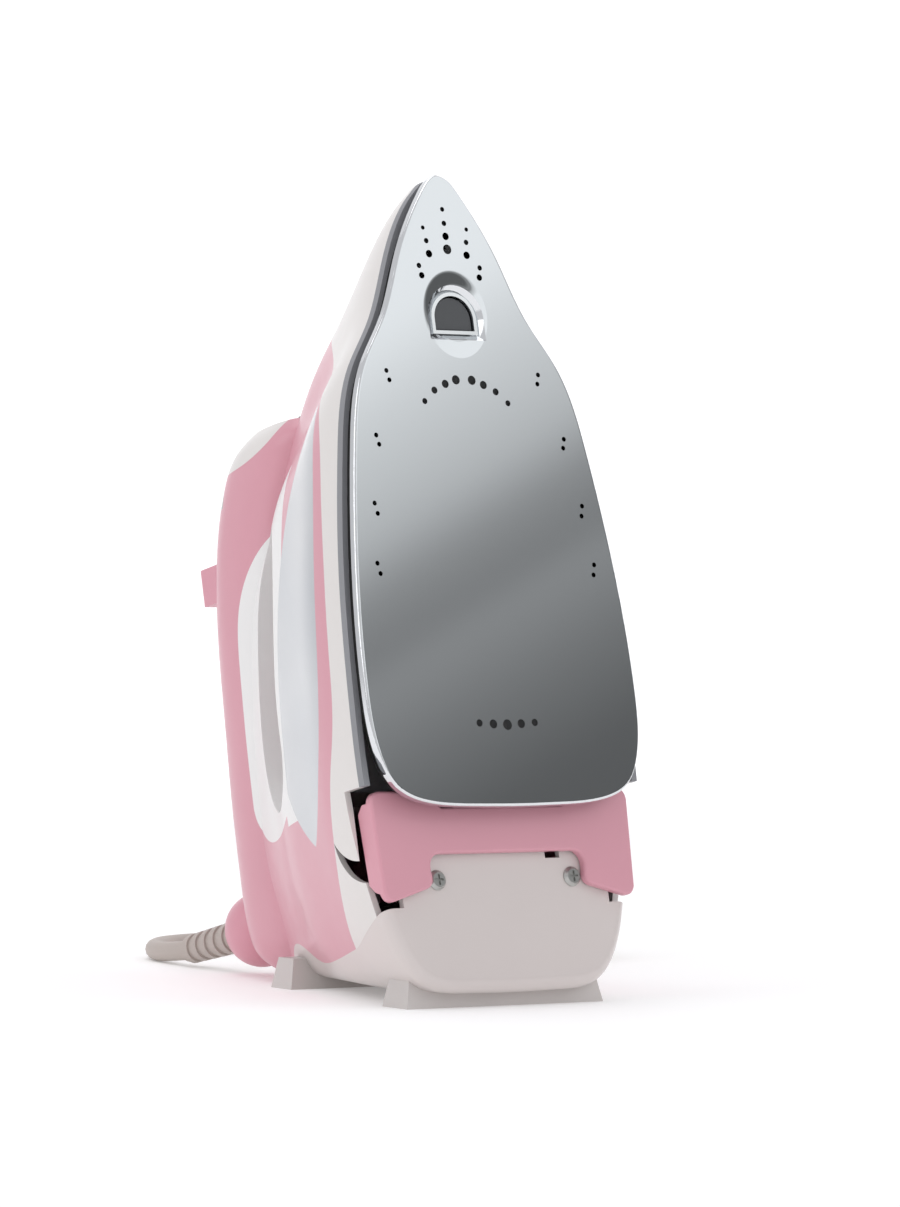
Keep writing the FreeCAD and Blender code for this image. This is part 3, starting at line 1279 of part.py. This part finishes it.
# ---------------------------------------------------------------- stand it up, check and write
doc.recompute()
for item in doc.Objects:
    assert "Invalid" not in item.State and "Error" not in item.State, f"{item.Name}: {item.State}"
leaning = [part.Shape.transformed(stand.toMatrix()) for label, part in subparts.items()
           if label not in cord_parts]
low_y = min(shape.optimalBoundingBox(False).YMin for shape in leaning)
high_y = max(shape.optimalBoundingBox(False).YMax for shape in leaning)
to_middle = Placement(Vector(0, -(low_y + high_y) / 2, 0), Rotation())
for label, part in subparts.items():
    turn = to_middle if label in cord_parts else to_middle.multiply(stand)
    part.Placement = turn.multiply(part.Placement)
doc.recompute()
print(f"pushed back by {(low_y + high_y) / 2:.3f} mm to put the origin under the middle")
for label, part in subparts.items():
    assert not part.Shape.isNull() and part.Shape.isValid(), f"{label} has no valid shape"
    assert part.Shape.Solids, f"{label} holds no solid"
    part.Shape.exportStep(f"parts/{label}.step")
print(f"{len(subparts)} sub-parts written")
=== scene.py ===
# %% [markdown]
# # A steam iron that lifts itself off the cloth
# The iron stands on its heel, leaning back a little, with its polished soleplate towards us. Its moving
# pieces come ready made from the CAD model. This lesson gives every piece its finish, lays the cord, and
# lights it all in a small photo studio.

# %% Load the iron
import math

import bpy
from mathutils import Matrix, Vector


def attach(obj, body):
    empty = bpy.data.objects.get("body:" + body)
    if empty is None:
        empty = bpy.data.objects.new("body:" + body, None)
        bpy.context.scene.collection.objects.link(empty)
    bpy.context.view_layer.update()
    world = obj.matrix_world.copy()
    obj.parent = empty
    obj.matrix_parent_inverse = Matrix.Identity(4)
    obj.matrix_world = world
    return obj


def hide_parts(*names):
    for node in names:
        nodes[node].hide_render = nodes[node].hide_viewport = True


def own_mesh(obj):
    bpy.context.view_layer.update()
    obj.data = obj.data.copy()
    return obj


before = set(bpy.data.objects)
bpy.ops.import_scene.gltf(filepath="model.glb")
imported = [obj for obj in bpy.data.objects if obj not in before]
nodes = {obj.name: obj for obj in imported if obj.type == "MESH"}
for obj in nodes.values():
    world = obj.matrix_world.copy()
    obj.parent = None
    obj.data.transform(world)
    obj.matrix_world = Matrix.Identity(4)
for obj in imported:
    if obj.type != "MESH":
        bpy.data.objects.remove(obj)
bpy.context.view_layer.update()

# %% [markdown]
# ## Directions on a leaning iron
# The iron leans back by 13.56 degrees, so its own directions aren't the world's. Working out a point by
# hand each time would invite mistakes, so one function turns a place on the iron into a place in the
# room: across, away from the soleplate's face, and along the soleplate from its rear edge.

# %% The iron's own directions
LEAN = math.radians(13.56)
AWAY = Vector((0, math.cos(LEAN), -math.sin(LEAN)))
ALONG = Vector((0, math.sin(LEAN), math.cos(LEAN)))
REAR_EDGE = Vector((0, -0.091452, 0.0706))


def on_iron(across, away, along):
    """A place on the iron, given in millimetres, as a point in the room, in metres."""
    return REAR_EDGE + Vector((across, 0, 0)) / 1000 + AWAY * (away / 1000) + ALONG * (along / 1000)


print("tip of the soleplate:", [round(v, 3) for v in on_iron(0, 0, 230)])

# %% [markdown]
# ## Camera
# A long lens from two metres away keeps the soleplate's edges nearly parallel, as a catalogue picture
# does. A short lens close by would swell the heel. The direction is set by three vectors rather than by
# a constraint, so that the small tilt of the camera is explicit.

# %% Camera
LENS_MM = 188.35
CAMERA_AT = Vector((-1.3249, -1.87261, 0.1783))
looking = Vector((0.58770, 0.80891, -0.01659)).normalized()
level = looking.cross(Vector((0, 0, 1))).normalized()
upright = level.cross(looking)
TILT = math.radians(0.88)
image_right = level * math.cos(TILT) + upright * math.sin(TILT)
image_up = upright * math.cos(TILT) - level * math.sin(TILT)

camera_data = bpy.data.cameras.new("studio_camera")
camera_data.sensor_fit = "VERTICAL"
camera_data.sensor_height = 36.0
camera_data.lens = LENS_MM
camera_data.clip_start = 0.05
camera = bpy.data.objects.new("studio_camera", camera_data)
bpy.context.scene.collection.objects.link(camera)
camera_axes = (image_right, image_up, -looking)
for row in range(3):
    for column in range(3):
        camera.matrix_world[row][column] = camera_axes[column][row]
    camera.matrix_world[row][3] = CAMERA_AT[row]
bpy.context.scene.camera = camera
print("camera", round((on_iron(0, 0, 115) - CAMERA_AT).length, 3), "m from the soleplate")

# %% [markdown]
# ## Two helpers for finishes
# Paint and plastic colours are usually written as hex codes in sRGB, but a shader works with linear
# light. One function turns one into the other. A second adds a node, sets it up and links it, which
# keeps each material down to the few lines that say something about the material.

# %% Colour and node helpers
def linear(code, alpha=1.0):
    """'#rrggbb' as the four linear numbers that a shader takes."""
    parts = [int(code[place:place + 2], 16) / 255 for place in (1, 3, 5)]
    return [p / 12.92 if p <= 0.04045 else ((p + 0.055) / 1.055) ** 2.4 for p in parts] + [alpha]


def add_node(tree, kind, inputs=None, **settings):
    """Adds one node. An input is given a value, or another node's output to be linked to."""
    node = tree.nodes.new(kind)
    for name, value in settings.items():
        setattr(node, name, value)
    for name, value in (inputs or {}).items():
        if isinstance(value, bpy.types.NodeSocket):
            tree.links.new(value, node.inputs[name])
        else:
            node.inputs[name].default_value = value
    return node


def new_finish(name):
    """An empty material with its shader, and the node tree to add to."""
    finish = bpy.data.materials.new(name)
    finish.use_nodes = True
    tree = finish.node_tree
    return finish, tree, tree.nodes["Principled BSDF"]


def per_metre(millimetres):
    """The Scale that makes a texture repeat about once in so many millimetres."""
    return 1000 / millimetres


print("a mid pink is", [round(v, 3) for v in linear("#d8a0ab")[:3]])

# %% [markdown]
# ## The cord
# A mains cord is one fixed length of something springy. This one comes out of its swivel, drops to
# the table and is coiled up behind the iron. It could be a row of cylinders, but then every joint would
# show, so it is one smooth NURBS curve with a round section. Its first points are those of the CAD
# model's cord, and the coil's turns are worked out by a loop: three beside each other, then a layer up.

# %% Cord route and coil
CORD_DIAMETER = 0.0075
FLOOR_HEIGHT = 0.00385
cord_points = [
    (0, 0.115329, 0.006024), (0.0003, 0.134548, FLOOR_HEIGHT), (0.0075, 0.152048, FLOOR_HEIGHT),
    (0.021, 0.165548, FLOOR_HEIGHT), (0.0385, 0.173048, FLOOR_HEIGHT), (0.058, 0.1757, FLOOR_HEIGHT),
    (0.080, 0.1763, FLOOR_HEIGHT), (0.100, 0.1765, FLOOR_HEIGHT),
]
COIL_MIDDLE = Vector((0.117, 0.123548, 0))
COIL_RINGS = [0.0529, 0.045, 0.0371, 0.0371, 0.045, 0.0529, 0.0529, 0.045, 0.045]
COIL_HEIGHTS = [0.00385, 0.00385, 0.00385, 0.01145, 0.01145, 0.01145, 0.01895, 0.01895, 0.0266]
TURN_POINTS = 16
WHOLE_TURNS = 8
LAST_POINTS = 4
LAST_RISE = 0.0055
for step in range(WHOLE_TURNS * TURN_POINTS + LAST_POINTS):
    turn, part = divmod(step, TURN_POINTS)
    ease = max(0.0, (part / TURN_POINTS - 0.6) / 0.4)
    ease = ease * ease * (3 - 2 * ease)
    last = min(turn + 1, WHOLE_TURNS)
    ring = COIL_RINGS[turn] + (COIL_RINGS[last] - COIL_RINGS[turn]) * ease
    height = COIL_HEIGHTS[turn] + (COIL_HEIGHTS[last] - COIL_HEIGHTS[turn]) * ease
    if turn == WHOLE_TURNS:
        height += LAST_RISE * (part + 1) / (LAST_POINTS + 1)
    angle = math.pi / 2 - 2 * math.pi * step / TURN_POINTS
    place = COIL_MIDDLE + Vector((ring * math.cos(angle), ring * math.sin(angle), height))
    cord_points.append(tuple(place))
PLUG_REAR = Vector((0.161, 0.131548, 0.0321))
cord_points.append(tuple(PLUG_REAR))
print(len(cord_points), "points")

# %% Cord curve
# The bevel is a metre and each point's radius scales it down: Blender grows a curve's box by that
# radius, so at its usual value of 1 the cord's box would be a metre too large on every side.
cord_curve = bpy.data.curves.new("mains_cord", "CURVE")
cord_curve.dimensions = "3D"
cord_curve.bevel_depth = 1.0
cord_curve.bevel_resolution = 5
cord_curve.use_fill_caps = True
cord_line = cord_curve.splines.new("NURBS")
cord_line.points.add(len(cord_points) - 1)
for point, place in zip(cord_line.points, cord_points):
    point.co = (*place, 1)
    point.radius = CORD_DIAMETER / 2
cord_line.order_u = 3
cord_line.use_endpoint_u = True
cord_line.resolution_u = 6
cord = bpy.data.objects.new("mains_cord", cord_curve)
bpy.context.scene.collection.objects.link(cord)
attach(cord, "cord_body")
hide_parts("cord_lead", "cord_coil")
print("cord laid")

# %% [markdown]
# ## Moulded plastics
# Nearly everything one touches on an iron is injection moulded: ABS for the shells, polypropylene for
# the feet, nylon for gears. Such plastic is glossy with a faint orange peel from the mould, so the
# highlights wobble slightly, and its colour drifts a little where the melt flowed. A plain colour would
# look like a drawing. Two noises do both jobs: a coarse one tints, and a fine one varies the gloss. Only
# pieces with a grain get relief from it too.

# %% Moulded plastic
def moulded(name, code, roughness, drift=0.03, peel_mm=6.0, grain=0.0, coat=0.0, subsurface=0.0):
    """An injection-moulded plastic: its colour, how glossy it is, and how deep its grain is in mm."""
    finish, tree, shader = new_finish(name)
    place = add_node(tree, "ShaderNodeTexCoord").outputs["Object"]
    melt = add_node(tree, "ShaderNodeTexNoise", {"Vector": place, "Scale": per_metre(45), "Detail": 3.0})
    darker = [value * (1 - drift * 2.2) for value in linear(code)[:3]] + [1.0]
    tint = add_node(tree, "ShaderNodeMix", {"Factor": melt.outputs["Fac"], "A": darker, "B": linear(code)},
                    data_type="RGBA")
    tree.links.new(tint.outputs[2], shader.inputs["Base Color"])
    peel = add_node(tree, "ShaderNodeTexNoise", {"Vector": place, "Scale": per_metre(peel_mm), "Detail": 1.0})
    if grain:
        relief = add_node(tree, "ShaderNodeBump", {"Height": peel.outputs["Fac"], "Strength": 0.35,
                                                   "Distance": grain / 1000})
        tree.links.new(relief.outputs["Normal"], shader.inputs["Normal"])
    shine = add_node(tree, "ShaderNodeMapRange", {"Value": peel.outputs["Fac"], "To Min": roughness * 0.85,
                                                  "To Max": roughness * 1.15})
    tree.links.new(shine.outputs["Result"], shader.inputs["Roughness"])
    shader.inputs["IOR"].default_value = 1.53
    shader.inputs["Coat Weight"].default_value = coat
    shader.inputs["Coat Roughness"].default_value = 0.08
    shader.inputs["Subsurface Weight"].default_value = subsurface
    shader.inputs["Subsurface Radius"].default_value = (0.004, 0.003, 0.002)
    return finish


def finish_node(finish, *names):
    """Gives a CAD piece its finish, through the material slots it came with."""
    for name in names:
        slots = nodes[name].data.materials
        for number in range(max(len(slots), 1)):
            if number < len(slots):
                slots[number] = finish
            else:
                slots.append(finish)


pink_abs = moulded("gloss_pink_abs", "#d99ca9", 0.34, drift=0.02, coat=0.25)
rose_abs = moulded("satin_rose_abs", "#dc9dab", 0.38, drift=0.03, coat=0.12)
white_abs = moulded("gloss_white_abs", "#e2dedb", 0.34, drift=0.02, coat=0.25)
heel_abs = moulded("warm_white_abs", "#d9d0cd", 0.33, drift=0.02, coat=0.35)
liner_abs = moulded("satin_white_abs", "#ecebea", 0.38, drift=0.02, coat=0.15)
foot_polypropylene = moulded("pale_polypropylene", "#d3cdca", 0.42, drift=0.04, peel_mm=1.2,
                             grain=0.02)
gear_nylon = moulded("natural_nylon", "#e3dfcf", 0.48, drift=0.03, peel_mm=1.0, grain=0.02,
                     subsurface=0.15)
finish_node(pink_abs, "side_shell", "handle_top")
finish_node(rose_abs, "rear_lifter", "steam_button", "spray_button", "dial_knob", "swivel_ball")
finish_node(white_abs, "lower_skirt", "nose", "fill_door", "steam_slider")
finish_node(heel_abs, "heel_cover")
finish_node(liner_abs, "handle_liner", "top_deck")
finish_node(foot_polypropylene, "near_foot", "far_foot", "fill_funnel", "terminal_block")
finish_node(gear_nylon, "leg_rack", "leg_pinion", "lifter_gear", "steam_pump", "spray_pump")
print("moulded pieces finished")

# %% [markdown]
# ## Dark plastics
# The heat shield is a black phenolic moulding: it has to stand the heat of the soleplate, so it is
# filled with mineral powder, which leaves it dull and slightly grainy. The front leg and the gearbox are
# dark glass-filled nylon with a fine spark texture. Both use the same moulding function, with a coarser
# relief and no gloss coat.

# %% Dark plastics
shield_phenolic = moulded("black_phenolic", "#1c1c1b", 0.50, drift=0.10, peel_mm=0.7, grain=0.04)
# Painted shade: the skirt's rim is the white skirt curving in towards the heat shield, and its mid grey
# stands for the shade that falls there.
rim_painted_shade_grey = moulded("painted_shade_grey_rim", "#8e8f93", 0.46, drift=0.04, peel_mm=0.8, grain=0.03)
leg_nylon = moulded("dark_glass_nylon", "#45474a", 0.42, drift=0.06, peel_mm=0.6, grain=0.04,
                    coat=0.1)
smoke_polycarbonate = moulded("smoke_polycarbonate", "#4f4e4b", 0.10, drift=0.02, coat=0.6)
nozzle_acetal = moulded("grey_acetal", "#5c5d60", 0.38, drift=0.03)
amber_polycarbonate = moulded("amber_polycarbonate", "#c9682f", 0.12, drift=0.02, coat=0.5,
                              subsurface=0.3)
board_epoxy = moulded("green_solder_mask", "#2f6b41", 0.34, drift=0.05, peel_mm=1.5, coat=0.3)
finish_node(shield_phenolic, "heat_shield")
# The rim's mid grey is painted shade.
finish_node(rim_painted_shade_grey, "skirt_rim")
finish_node(leg_nylon, "front_leg", "lift_gearbox", "lifter_frame")
finish_node(smoke_polycarbonate, "slider_window")
finish_node(nozzle_acetal, "spray_nozzle")
finish_node(amber_polycarbonate, "indicator_lens")
finish_node(board_epoxy, "control_board")
print("dark pieces finished")

# %% [markdown]
# ## The silver tank
# The water tank is clear polycarbonate tinted with fine aluminium flake, so one can just make out the
# water level but not the inside. A metal shader alone would be too hard, and a glass one would show the
# empty hull. It is a plastic with part of a metal in it, under a clear glossy skin, and the flakes are a
# very fine noise that changes how much of each there is. The real flakes are 0.05 mm; they are drawn at
# 0.35 mm, the smallest that still shows at this distance.

# %% Tank finish
tank_silver, tree, shader = new_finish("silver_flake_polycarbonate")
place = add_node(tree, "ShaderNodeTexCoord").outputs["Object"]
flakes = add_node(tree, "ShaderNodeTexNoise", {"Vector": place, "Scale": per_metre(0.35), "Detail": 2.0})
cloud = add_node(tree, "ShaderNodeTexNoise", {"Vector": place, "Scale": per_metre(60), "Detail": 2.0})
silver = add_node(tree, "ShaderNodeMix", {"Factor": cloud.outputs["Fac"], "A": linear("#b4bac1"),
                                          "B": linear("#d2d2d3")}, data_type="RGBA")
metal_share = add_node(tree, "ShaderNodeMapRange", {"Value": flakes.outputs["Fac"], "From Min": 0.35,
                                                    "From Max": 0.65, "To Min": 0.25, "To Max": 0.6})
tree.links.new(silver.outputs[2], shader.inputs["Base Color"])
tree.links.new(metal_share.outputs["Result"], shader.inputs["Metallic"])
shader.inputs["Roughness"].default_value = 0.30
shader.inputs["IOR"].default_value = 1.58
shader.inputs["Coat Weight"].default_value = 0.8
shader.inputs["Coat Roughness"].default_value = 0.06
finish_node(tank_silver, "water_tank")
print("tank finished")

# %% [markdown]
# ## The soleplate
# A good soleplate is stainless steel, pressed, then mirror polished so that it glides. Polishing never
# quite removes the grain, and use adds hair lines, so it reflects softly rather than like a mirror. The
# colour comes from the room: the same steel looks white at the tip and dark at the heel because of what
# it reflects. So the steel itself is kept even, and the room is given something to reflect later on.

# %% Polished steel
def polished(name, code, roughness, hair_mm=0.6, hair_depth=0.002, along=(1, 1, 12)):
    """A polished metal, with hair lines drawn out along the direction of the last polishing."""
    finish, tree, shader = new_finish(name)
    place = add_node(tree, "ShaderNodeTexCoord").outputs["Object"]
    stretched = add_node(tree, "ShaderNodeMapping", {
        "Vector": place, "Scale": [per_metre(hair_mm) / share for share in along]})
    hairs = add_node(tree, "ShaderNodeTexNoise", {"Vector": stretched.outputs["Vector"], "Scale": 1.0,
                                                  "Detail": 3.0})
    shine = add_node(tree, "ShaderNodeMapRange", {"Value": hairs.outputs["Fac"], "To Min": roughness * 0.8,
                                                  "To Max": roughness * 1.2})
    relief = add_node(tree, "ShaderNodeBump", {"Height": hairs.outputs["Fac"], "Strength": 0.2,
                                               "Distance": hair_depth / 1000})
    tree.links.new(shine.outputs["Result"], shader.inputs["Roughness"])
    tree.links.new(relief.outputs["Normal"], shader.inputs["Normal"])
    shader.inputs["Base Color"].default_value = linear(code)
    shader.inputs["Metallic"].default_value = 1.0
    return finish


soleplate_steel = polished("polished_stainless_steel", "#dfe1e3", 0.07)
guide_chrome = polished("chrome_plated_zinc", "#e6e7e8", 0.10)
screw_zinc = polished("zinc_plated_steel", "#b9b9b6", 0.36, hair_mm=0.3, along=(1, 1, 1))
turned_steel = polished("drawn_steel", "#b8b8b8", 0.36, hair_mm=0.3, along=(8, 1, 1))
motor_steel = polished("nickel_plated_can", "#c2c3c4", 0.36, hair_mm=0.5, along=(8, 1, 1))
turned_brass = polished("turned_brass", "#c9a45a", 0.36, hair_mm=0.3, along=(8, 1, 1))
copper_foil = polished("copper_foil", "#c98b62", 0.38, hair_mm=0.8, along=(1, 1, 6))
sheath_steel = polished("oxidised_sheath_steel", "#6f6862", 0.45, hair_mm=0.8, along=(1, 1, 4))
cast_aluminium = polished("heat_darkened_cast_aluminium", "#5d5c5b", 0.55, hair_mm=1.2, hair_depth=0.03,
                          along=(1, 1, 1))
finish_node(soleplate_steel, "soleplate")
finish_node(guide_chrome, "leg_guide")
finish_node(screw_zinc, "heel_screws", "thermal_fuse", "thermostat")
finish_node(turned_steel, "lifter_shaft", "door_pin", "valve_rod", "dial_shaft", "steam_spring",
            "spray_spring")
finish_node(motor_steel, "leg_motor", "lift_motor")
finish_node(turned_brass, "lift_pinion", "lifter_bushes", "drip_valve", "plug_pins")
finish_node(copper_foil, "touch_sensor")
finish_node(sheath_steel, "heating_element")
finish_node(cast_aluminium, "heater_casting", "steam_chamber_cover")
print("metals finished")

# %% [markdown]
# ## The pressed dish round the front leg
# The press draws a shallow oval dish into the soleplate, so that the leg's ring doesn't catch the cloth.
# It is only about a millimetre deep. A mesh of it would need the plate cut open again, so it is a relief
# in the steel: the height is a function of the distance from the leg, measured as an ellipse.

# %% Dish relief
DISH_PLACE = 178.5
DISH_HALF_WIDTH = 0.0125
DISH_HALF_LENGTH = 0.0145
DISH_DEPTH = 0.0009
tree = soleplate_steel.node_tree
shader = tree.nodes["Principled BSDF"]
place = add_node(tree, "ShaderNodeTexCoord").outputs["Object"]
dish_middle = on_iron(0, 0, DISH_PLACE)
from_middle = add_node(tree, "ShaderNodeVectorMath", {0: place, 1: dish_middle}, operation="SUBTRACT")
along_iron = add_node(tree, "ShaderNodeVectorMath", {0: from_middle.outputs["Vector"], 1: ALONG},
                      operation="DOT_PRODUCT")
across_iron = add_node(tree, "ShaderNodeSeparateXYZ", {"Vector": from_middle.outputs["Vector"]})
oval = add_node(tree, "ShaderNodeCombineXYZ", {
    "X": add_node(tree, "ShaderNodeMath", {0: across_iron.outputs["X"], 1: DISH_HALF_WIDTH},
                  operation="DIVIDE").outputs["Value"],
    "Y": add_node(tree, "ShaderNodeMath", {0: along_iron.outputs["Value"], 1: DISH_HALF_LENGTH},
                  operation="DIVIDE").outputs["Value"]})
distance = add_node(tree, "ShaderNodeVectorMath", {0: oval.outputs["Vector"]}, operation="LENGTH")
dish = add_node(tree, "ShaderNodeMapRange", {"Value": distance.outputs["Value"], "From Min": 0.7,
                                             "From Max": 1.12}, interpolation_type="SMOOTHSTEP")
hair_relief = shader.inputs["Normal"].links[0].from_socket
pressed = add_node(tree, "ShaderNodeBump", {"Height": dish.outputs["Result"], "Strength": 1.0,
                                            "Distance": DISH_DEPTH, "Normal": hair_relief})
tree.links.new(pressed.outputs["Normal"], shader.inputs["Normal"])
print("dish at", [round(v, 3) for v in dish_middle])

# %% [markdown]
# ## The cord's rubber
# The cord, its ribbed boot and the plug are soft PVC in a warm grey. PVC is dull when new and a little
# waxy, picks up dust, and never has sharp highlights. The boot keeps the CAD model's rings.

# %% Cord, boot and plug
cord_pvc = moulded("warm_grey_pvc", "#bdb2ab", 0.52, drift=0.05, peel_mm=0.9, grain=0.03)
cord_curve.materials.append(cord_pvc)
finish_node(cord_pvc, "cord_boot", "plug_body")
unfinished = [name for name, node in nodes.items()
              if not node.hide_render and (not node.data.materials or not node.data.materials[0].node_tree)]
print("no finish yet:", unfinished)

# %% [markdown]
# ## The button springs
# Each button is held up by a coil spring round its stem. A rigid spring would poke through the button
# when it is pressed. A rig could wind it tighter, but nobody sees it inside the handle. Here each spring is
# only copied, with its doubled points merged and its faces turned outwards, and the copy is attached to the
# iron's body in place of the CAD spring. The model's springs are shorter than real ones could be, so they
# show where a spring sits and not how it works.

# %% Button springs
for spring_name, push in (("steam_spring", "steam_button_push"), ("spray_spring", "spray_button_push")):
    spring = bpy.data.objects.new(f"live_{spring_name}", nodes[spring_name].data.copy())
    bpy.context.scene.collection.objects.link(spring)
    bpy.ops.object.select_all(action="DESELECT")
    spring.select_set(True)
    bpy.context.view_layer.objects.active = spring
    bpy.ops.object.mode_set(mode="EDIT")
    bpy.ops.mesh.select_all(action="SELECT")
    bpy.ops.mesh.remove_doubles(threshold=0.000001)
    bpy.ops.mesh.normals_make_consistent(inside=False)
    bpy.ops.object.mode_set(mode="OBJECT")
    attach(spring, "iron_body")
    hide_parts(spring_name)
    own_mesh(spring)
    print(spring.name, len(spring.data.polygons), "faces")

# %% [markdown]
# ## Floor
# A sheet of matt paper that sweeps up behind the iron has no horizon line, so nothing competes with the
# outline. It starts as a plane; its far edge is pulled up and the fold is bevelled into a curve. The
# paper lies on a light table, so it glows a little, which takes the grey out of the shadows.

# %% Paper sweep
bpy.ops.object.select_all(action="DESELECT")
bpy.ops.mesh.primitive_plane_add(size=9, location=(0, 0, 0))
sweep = bpy.context.active_object
sweep.name = "paper_sweep"
bpy.ops.object.transform_apply(location=True, rotation=True, scale=True)
bpy.ops.object.mode_set(mode="EDIT")
bpy.ops.mesh.select_mode(type="EDGE")
bpy.ops.mesh.select_all(action="DESELECT")
bpy.ops.object.mode_set(mode="OBJECT")
for edge in sweep.data.edges:
    edge.select = all(sweep.data.vertices[v].co.y > 4 for v in edge.vertices)
bpy.ops.object.mode_set(mode="EDIT")
bpy.ops.mesh.extrude_region_move(TRANSFORM_OT_translate={"value": (0, 0, 5)})
bpy.ops.object.mode_set(mode="OBJECT")
for edge in sweep.data.edges:
    ends = [sweep.data.vertices[v].co for v in edge.vertices]
    edge.select = all(end.y > 4 and end.z < 0.1 for end in ends)
bpy.ops.object.mode_set(mode="EDIT")
bpy.ops.mesh.bevel(offset=1.6, segments=16, affect="EDGES")
bpy.ops.object.mode_set(mode="OBJECT")
bpy.ops.object.shade_smooth()
TURN_TO_CAMERA = -math.radians(36)
for vertex in sweep.data.vertices:
    x, y, z = vertex.co
    vertex.co = (x * math.cos(TURN_TO_CAMERA) - y * math.sin(TURN_TO_CAMERA),
                 x * math.sin(TURN_TO_CAMERA) + y * math.cos(TURN_TO_CAMERA), z)
paper, tree, shader = new_finish("matt_paper")
fibre = add_node(tree, "ShaderNodeTexNoise", {
    "Vector": add_node(tree, "ShaderNodeTexCoord").outputs["Object"], "Scale": per_metre(900)})
pulp = add_node(tree, "ShaderNodeMix", {"Factor": fibre.outputs["Fac"], "A": linear("#f6f6f6"),
                                        "B": linear("#fbfbfb")}, data_type="RGBA")
tree.links.new(pulp.outputs[2], shader.inputs["Base Color"])
shader.inputs["Roughness"].default_value = 0.9
shader.inputs["Specular IOR Level"].default_value = 0.1
shader.inputs["Emission Color"].default_value = (1, 1, 1, 1)
shader.inputs["Emission Strength"].default_value = 0.14
sweep.data.materials.append(paper)
print("paper", len(sweep.data.polygons), "faces")

# %% [markdown]
# ## Light
# Everything is lit by a pale room and four softboxes: a large one to the left, which models the shells,
# a weaker one to the right, one overhead, and one behind the iron that only washes the paper white. Large
# lights give soft shadows and long soft highlights.

# %% Room and softboxes
scene = bpy.context.scene
scene.view_settings.view_transform = "Standard"
room = bpy.data.worlds.new("pale_room")
room.use_nodes = True
room.node_tree.nodes["Background"].inputs["Color"].default_value = linear("#fcfcff")
room.node_tree.nodes["Background"].inputs["Strength"].default_value = 0.70
scene.world = room


def softbox(name, place, aim, size, power):
    """A square area light at a place, turned towards an aim."""
    lamp = bpy.data.lights.new(name, "AREA")
    lamp.shape = "SQUARE"
    lamp.size = size
    lamp.energy = power
    holder = bpy.data.objects.new(name, lamp)
    bpy.context.scene.collection.objects.link(holder)
    holder.location = place
    holder.rotation_euler = (Vector(aim) - Vector(place)).to_track_quat("-Z", "Y").to_euler()
    return holder


IRON_MIDDLE = (0, -0.02, 0.14)
softbox("left_softbox", (-1.9, 0.1, 1.1), IRON_MIDDLE, 1.4, 6)
softbox("right_softbox", (1.4, -1.6, 1.5), IRON_MIDDLE, 1.2, 5)
softbox("top_softbox", (-0.2, 0.3, 2.2), IRON_MIDDLE, 1.6, 10)
softbox("backdrop_softbox", (1.0, 1.4, 1.9), (2.9, 4.0, 0.9), 2.0, 30)
print("lights set")

# %% [markdown]
# ## What the soleplate reflects
# A photographer hangs a graded card where the soleplate's reflection falls, because polished steel shows
# the room and nothing else. The card is white at its top and dark at its foot, with one soft diagonal
# step across it. It is seen by reflections only, so it neither lights the shells nor casts a shadow.

# %% Graded card
GRADE_LEAN = 0.29
GRADE_REACH = 0.18
GRADES = ((0.02, 0.116), (0.18, 0.20), (0.305, 0.30), (0.345, 0.205), (0.44, 0.29), (0.52, 0.53),
          (0.60, 0.62), (0.70, 0.73), (0.82, 0.95))
plate_middle = on_iron(0, 0, 115)
sight = (plate_middle - CAMERA_AT).normalized()
bounce = sight - 2 * sight.dot(AWAY) * AWAY
card_middle = plate_middle + bounce * 1.5
bpy.ops.object.select_all(action="DESELECT")
bpy.ops.mesh.primitive_plane_add(size=2.4)
card = bpy.context.active_object
card.name = "graded_card"
card_side = bounce.cross(Vector((0, 0, 1))).normalized()
card_up = card_side.cross(bounce)
for row in range(3):
    for column, axis in enumerate((card_side, card_up, -bounce)):
        card.matrix_world[row][column] = axis[row]
    card.matrix_world[row][3] = card_middle[row]
graded, tree, shader = new_finish("graded_card_paper")
place = add_node(tree, "ShaderNodeSeparateXYZ", {
    "Vector": add_node(tree, "ShaderNodeTexCoord").outputs["Object"]})
slope = add_node(tree, "ShaderNodeMath", {0: place.outputs["X"], 1: GRADE_LEAN, 2: place.outputs["Y"]},
                 operation="MULTIPLY_ADD")
height = add_node(tree, "ShaderNodeMapRange", {"Value": slope.outputs["Value"], "From Min": -GRADE_REACH,
                                               "From Max": GRADE_REACH})
grade = add_node(tree, "ShaderNodeValToRGB", {"Fac": height.outputs["Result"]})
for number, (spot, light) in enumerate(GRADES):
    element = grade.color_ramp.elements[number] if number < 2 else grade.color_ramp.elements.new(spot)
    element.position = spot
    element.color = (light * 0.97, light, light * 1.015, 1)
shine = add_node(tree, "ShaderNodeEmission", {"Color": grade.outputs["Color"], "Strength": 1.1})
tree.links.new(shine.outputs["Emission"], tree.nodes["Material Output"].inputs["Surface"])
card.data.materials.append(graded)
card.visible_camera = card.visible_diffuse = card.visible_shadow = False
card.visible_transmission = card.visible_volume_scatter = False
print("card at", [round(v, 2) for v in card_middle])

# %% End
print("scene built")
